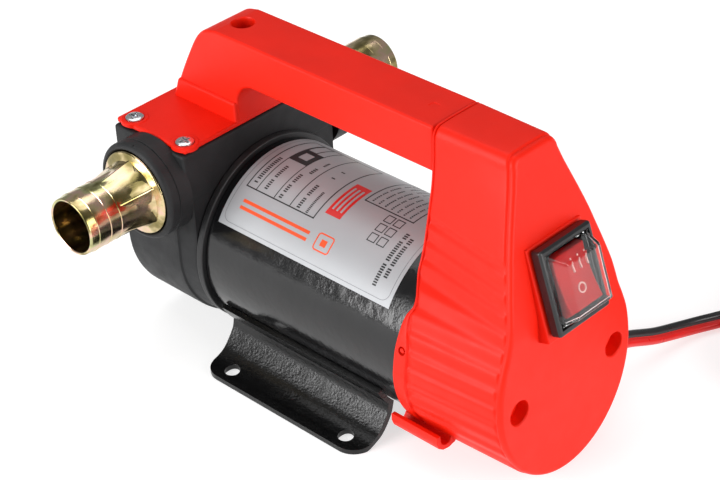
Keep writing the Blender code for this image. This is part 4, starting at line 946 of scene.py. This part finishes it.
def width_at(table, z):
    """Smooth interpolation in a table of (height, width) points."""
    points = [table[0]] + table + [table[-1]]
    for a, b, c, d in zip(points, points[1:], points[2:], points[3:]):
        if z <= c[0]:
            t = min(max((z - b[0]) / (c[0] - b[0]), 0.0), 1.0)
            out = (c[1] - a[1]) / max(c[0] - a[0], 1e-9) * (c[0] - b[0])
            into = (d[1] - b[1]) / max(d[0] - b[0], 1e-9) * (c[0] - b[0])
            return (b[1] * (2 * t**3 - 3 * t**2 + 1) + out * (t**3 - 2 * t**2 + t)
                + c[1] * (3 * t**2 - 2 * t**3) + into * (t**3 - t**2))
    return table[-1][1]


def rib_loss(z):
    """Share of the rib depth that the wall lies in at a height: 0 on a crest and 1 in a trough."""
    place_in = (z - RIB_LOW) / RIB_PITCH
    if place_in <= 0 or place_in >= RIBS:
        return 1.0 - ease(-place_in * 2) if place_in <= 0 else 1.0 - ease((place_in - RIBS) * 2)
    part = place_in % 1.0
    phase = part / RIB_CREST / 2 if part < RIB_CREST else 0.5 + (part - RIB_CREST) / (1 - RIB_CREST) / 2
    return 0.5 + 0.5 * cos(2 * pi * phase)


def cap_heights(fine):
    low = [CAP_R * sin(radians(a)) for a in range(-90, -36, 3 if fine else 9)]
    step = RIB_PITCH / (10 if fine else 2)
    count = int((SIDE_TOP - SIDE_LOW) / step)
    return low + [SIDE_LOW + (SIDE_TOP - SIDE_LOW) * i / count for i in range(count + 1)]


def cap_outline(share, inset, ribs, fine):
    """(y, z) points of one side of the cap, from the bottom centre to the top centre."""
    half = []
    across = CAP_R + (FRONT_ROUND[0] - CAP_R) * share
    down = CAP_R + (FRONT_ROUND[1] - CAP_R) * share
    for z in cap_heights(fine):
        loss = inset + ribs * rib_loss(z)
        if z <= 0:
            level = z / CAP_R
            half.append(((across - loss) * sqrt(max(1 - level**2, 0.0)), (down - loss) * level))
        else:
            width = width_at(REAR_WIDTH, z) * (1 - share) + width_at(FRONT_WIDTH, z) * share
            half.append((max(width - loss, 0.002), z))
    corner = width_at(REAR_WIDTH, SIDE_TOP) * (1 - share) + width_at(FRONT_WIDTH, SIDE_TOP) * share - inset
    top = CAP_TOP - inset
    for i in range(1, 8):
        a = radians(11 * i)
        half.append((corner - 0.0045 * (1 - cos(a)), SIDE_TOP + (top - SIDE_TOP) * 0.985 * sin(a)))
    half += [(corner * 0.5, top - 5e-5), (corner * 0.2, top)]
    half[0] = (0.0, half[0][1])
    return half + [(0.0, top)]


def cap_front(z, back=0.0):
    """X of the cap's front: it leans back a little, and more above LEAN_BREAK, with a soft turn between."""
    soft = 0.005
    over = z - LEAN_BREAK
    rise = 0.0 if over < -soft else over if over > soft else (over + soft) ** 2 / (4 * soft)
    return CAP_FRONT - LEAN * (z + CAP_R) - (UPPER_LEAN - LEAN) * rise - back


def cap_rear(z, ahead=0.0):
    """X of the cap's rear edge, which is cut back above the round mouth, moved forward by a depth."""
    return width_at(REAR_EDGE, z) + ahead


def cap_body(name, rings, fine=True):
    """Lofts (share, inset, ribs, x of height) rings of both sides, and closes both ends with strips."""
    bm = bmesh.new()
    loops = []
    for share, inset, ribs, depth in rings:
        half = cap_outline(share, inset, ribs, fine)
        points = half + [(-y, z) for y, z in half[-2:0:-1]]
        loops.append([bm.verts.new((depth(z), y, z)) for y, z in points])
    skin(bm, loops, ends=False)
    count = len(loops[0])
    for loop in (loops[0], loops[-1]):
        for i in range(count // 2):
            corners = []
            for vert in (loop[-i % count], loop[i], loop[i + 1], loop[-(i + 1) % count]):
                if vert not in corners:
                    corners.append(vert)
            bm.faces.new(corners)
    return place(name, mesh_of(name, bm))


def make_cap():
    def front(back):
        """X of a line this far behind the cap's front."""
        return lambda z: cap_front(z, back)

    def collar(ahead, more):
        """X of a collar line: it closes up to the rear edge above the round mouth."""
        return lambda z: cap_rear(z, ahead * (1 - 0.94 * ease((z - 0.008) / 0.02)) + more)

    def ribbed(part):
        """X of a line of the ribbed side, some part of the way from the collar to the front."""
        return lambda z: collar(0.0074, 0.0018)(z) * (1 - part) + cap_front(z, 0.0038) * part

    sections = [(0.0, 0.0012, 0.0, cap_rear), (0.0, 0.0005, 0.0, lambda z: cap_rear(z, 0.0002)),
        (0.01, 0.0001, 0.0, collar(0.0012, 0.0004)), (0.01, 0.0, 0.0, collar(0.0052, 0.0006)),
        (0.02, 0.0001, 0.0, collar(0.0056, 0.0008)), (0.03, 0.0006, RIB_DEPTH * 0.5, collar(0.006, 0.001)),
        (0.04, 0.0004, RIB_DEPTH, collar(0.0066, 0.0014))]
    for part in [i / 8 for i in range(9)]:
        sections.append((0.06 + 0.87 * part, 0.0, RIB_DEPTH * (1 - 0.25 * part), ribbed(part)))
    sections += [(0.935, 0.0002, RIB_DEPTH * 0.6, front(0.0032)), (0.938, 0.0007, 0.0, front(0.0028)),
        (0.94, 0.0006, 0.0, front(0.0022))]
    for i in range(10):
        angle = radians(10 * i)
        sections.append((0.94 + 0.06 * i / 9, 0.0005 + (RIM_INSET - 0.0005) * (1 - cos(angle)),
            0.0, front(RIM_BACK * (1 - sin(angle)))))
    sections.append((1.0, RIM_INSET + 0.0006, 0.0, front(0.0)))
    cap = cap_body("cap_moulding", sections)
    join(cap, box("switch_ramp", (-0.0158, -0.02, -0.0105), (0.0158, 0.0184, 0.0), bevel=0.0006, steps=3,
        base=SWITCH))
    hook = [(-0.03, -0.027), (-0.03, -0.03), (-0.034, -0.0308), (-0.0372, -0.0302), (-0.0396, -0.0284),
        (-0.0406, -0.0258), (-0.0406, -0.0226), (-0.0386, -0.0226), (-0.0385, -0.0254), (-0.0377, -0.0272),
        (-0.0358, -0.0283), (-0.0338, -0.0282), (-0.0325, -0.0262)]
    join(cap, soften(prism("hook", hook, CAP_REAR, 0.145), 0.0003, 2))
    cavity = cap_body("cavity", [(0.02, CAP_WALL, 0.0, lambda z: cap_rear(z, 0.0024)),
        (0.92, CAP_WALL, 0.0, front(0.005)), (1.0, CAP_WALL + 0.0016, 0.0, front(0.003))], fine=False)
    cut(cap, cavity, rod("mouth", CAP_REAR - 0.002, 0.1463, 0.0404, steps=128))
    cut(cap, box("tenon_way", (0.119, -0.0103, 0.0763), (0.126, 0.0103, 0.0907)))
    for sign in (-1, 1):
        at = (0, sign * SCREW_Y, SCREW_Z)
        join(cap, turned("screw_pillar", [(0.1465, 0.0068), (0.1738, 0.0068), (0.1738, 0.0051),
            (0.15, 0.0051), (0.15, 0.0022), (0.1465, 0.0022)], steps=48, ring=True, at=at))
        face = cap_front(SCREW_Z)
        cut(cap, turned("well", [(0.17, 0.0052), (face - 0.0003, 0.0052), (face + 0.0015, 0.0066)], steps=64,
            at=at))
    cut(cap, box("switch_hole", (-0.011, -0.0142, -0.012), (0.011, 0.0142, 0.004), base=SWITCH))
    join(cap, rod("lead_boss", 0.024, 0.0394, 0.0082, axis="Y", at=LEAD_EXIT_AT, steps=48))
    for end, radius in ((0.045, 0.0052), (0.0299, 0.0068)):
        cut(cap, rod("lead_hole", 0.02, end, radius, "Y", 48, at=LEAD_EXIT_AT))
    cut(cap, rod("collar_notch", -0.039, -0.044, 0.0018, "Y", 32, at=COLLAR_PIN_AT))
    join(cap, rod("collar_pin", -0.0408, -0.038, 0.001, "Y", 24, at=COLLAR_PIN_AT))
    settle(cap, "red_plastic", "end_cap", edge=0.00025)
    for sign, side in ((-1, "inlet"), (1, "outlet")):
        at = (0, sign * SCREW_Y, SCREW_Z)
        screw = turned(f"well_screw_{side}_side", [(0.14, 0.001), (0.1406, 0.0015), (0.1503, 0.0015),
            (0.1503, 0.0036), (0.1506, 0.0038), (0.1515, 0.0038), (0.1524, 0.0035), (0.153, 0.0026),
            (0.1533, 0.0014)], steps=48, at=at)
        for turn in (0.3, 0.3 + pi / 2):
            slit = box("slit", (0.1518, -0.0024, -0.0004), (0.1545, 0.0024, 0.0004), at=at, turn=(turn, 0, 0))
            cut(screw, slit)
        settle(screw, "zinc", f"cap_screw_{side}_side")


# ---- switch

ROCKER_PIVOT, ROCKER_REST, BEZEL_TOP = 0.003, radians(-9), 0.0055
COVER_LOW, COVER_HIGH = (0.0124, 0.0146, 0.0043), (0.0097, 0.0112, 0.0125)


def frustum(name, low, high, **where):
    """A box that narrows upward, from (half length, half width, height) at both ends."""
    rings = [[(-x, -y, z), (x, -y, z), (x, y, z), (-x, y, z)] for x, y, z in (low, high)]
    return loft(name, rings, base=SWITCH, **where)


def make_switch():
    housing = box("switch_bezel", (-0.0146, -0.01745, CLEAR), (0.0146, 0.01745, BEZEL_TOP), bevel=0.0012,
        steps=3, base=SWITCH)
    join(housing, box("switch_body", (-0.0106, -0.0138, -0.019), (0.0106, 0.0138, 0.001), base=SWITCH))
    for x in (-0.0055, 0.0055):
        for y in (-0.009, 0.009):
            join(housing, box("terminal", (x - 0.0004, y - 0.0031, -0.026), (x + 0.0004, y + 0.0031, -0.018),
                base=SWITCH))
    for x, y, low in ((0.0128, 0.015, 0.004), (0.0092, 0.013, -0.011)):
        cut(housing, box("seat", (-x, -y, low), (x, y, 0.007), base=SWITCH))
    settle(housing, "black_plastic", "switch_housing", edge=0.0002)

    reach = 0.0122
    ends = arc((-reach + 0.0018, 0.003), 0.0006, 170, 95, 4)
    top = curve_through([ends[-1], (-0.006, 0.0029), (0.0, 0.0026), (0.006, 0.0029),
        (-ends[-1][0], ends[-1][1])], 5)
    profile = ends[:-1] + top + [(-y, z) for y, z in ends[-2::-1]]
    profile += [(reach, -0.0006), (0.007, -0.005), (0.003, -0.0088), (-0.003, -0.0088), (-0.007, -0.005),
        (-reach, -0.0006)]
    seat = SWITCH @ Matrix.Translation((0, 0, ROCKER_PIVOT)) @ Matrix.Rotation(ROCKER_REST, 4, "X")
    rocker = soften(prism("rocker_cap", profile, -0.0087, 0.0087, base=seat), 0.0005, 3)
    settle(rocker, "rocker_red", "switch_rocker", body="rocker")
    make_marks(seat)

    cover = soften(frustum("splash_cover", COVER_LOW, COVER_HIGH), 0.0009, 4)
    cut(cover, soften(frustum("hollow", (0.0116, 0.0138, 0.003), (0.0089, 0.0104, 0.0117)), 0.0006, 3))
    tilt = atan2(COVER_LOW[1] - COVER_HIGH[1], COVER_HIGH[2] - COVER_LOW[2])
    for i in range(4):
        join(cover, box("grip_ridge", (-0.00025, -0.0002, -0.003), (0.00025, 0.0004, 0.003), bevel=0.0001,
            steps=2, at=(-0.006 + 0.004 * i, -0.0129, 0.0084), turn=(-tilt, 0, 0), base=SWITCH))
    settle(cover, "clear", "switch_cover")


def make_marks(seat):
    """The on and off marks: a ring at one end of the rocker and short bars at the other."""
    ring = washer("rocker_ring_mark", 0.002, 0.00305, 0.0015, 0.0021, "Z", 48,
        base=seat @ Matrix.Translation((0.0008, -0.004, 0)))
    settle(ring, "mark_pink", body="rocker")
    bars = None
    for x in (-0.0002, 0.0038, 0.0076):
        bar = box("rocker_bar_marks", (x - 0.0003, 0.0026, 0.002), (x + 0.0003, 0.0078, 0.0034), base=seat)
        bars = join(bars, bar) if bars else bar
    settle(bars, "mark_pink", body="rocker")


# ---- the whole scene

make_camera()
make_studio()
FINISHES.update(make_finishes())
make_lead()
make_grommet()
make_body()
make_cover()
make_tail("inlet", "-Y")
make_tail("outlet", "Y")
make_motor()
make_springs()
make_foot("inlet")
make_foot("outlet")
make_label()
make_handle()
make_cap()
make_switch()

for name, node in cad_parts.items():
    wanted = node.data.materials[0].name.split(".")[0] if node.data.materials else "steel"
    if wanted in FINISHES and not node.hide_render:
        node.material_slots[0].material = FINISHES[wanted]
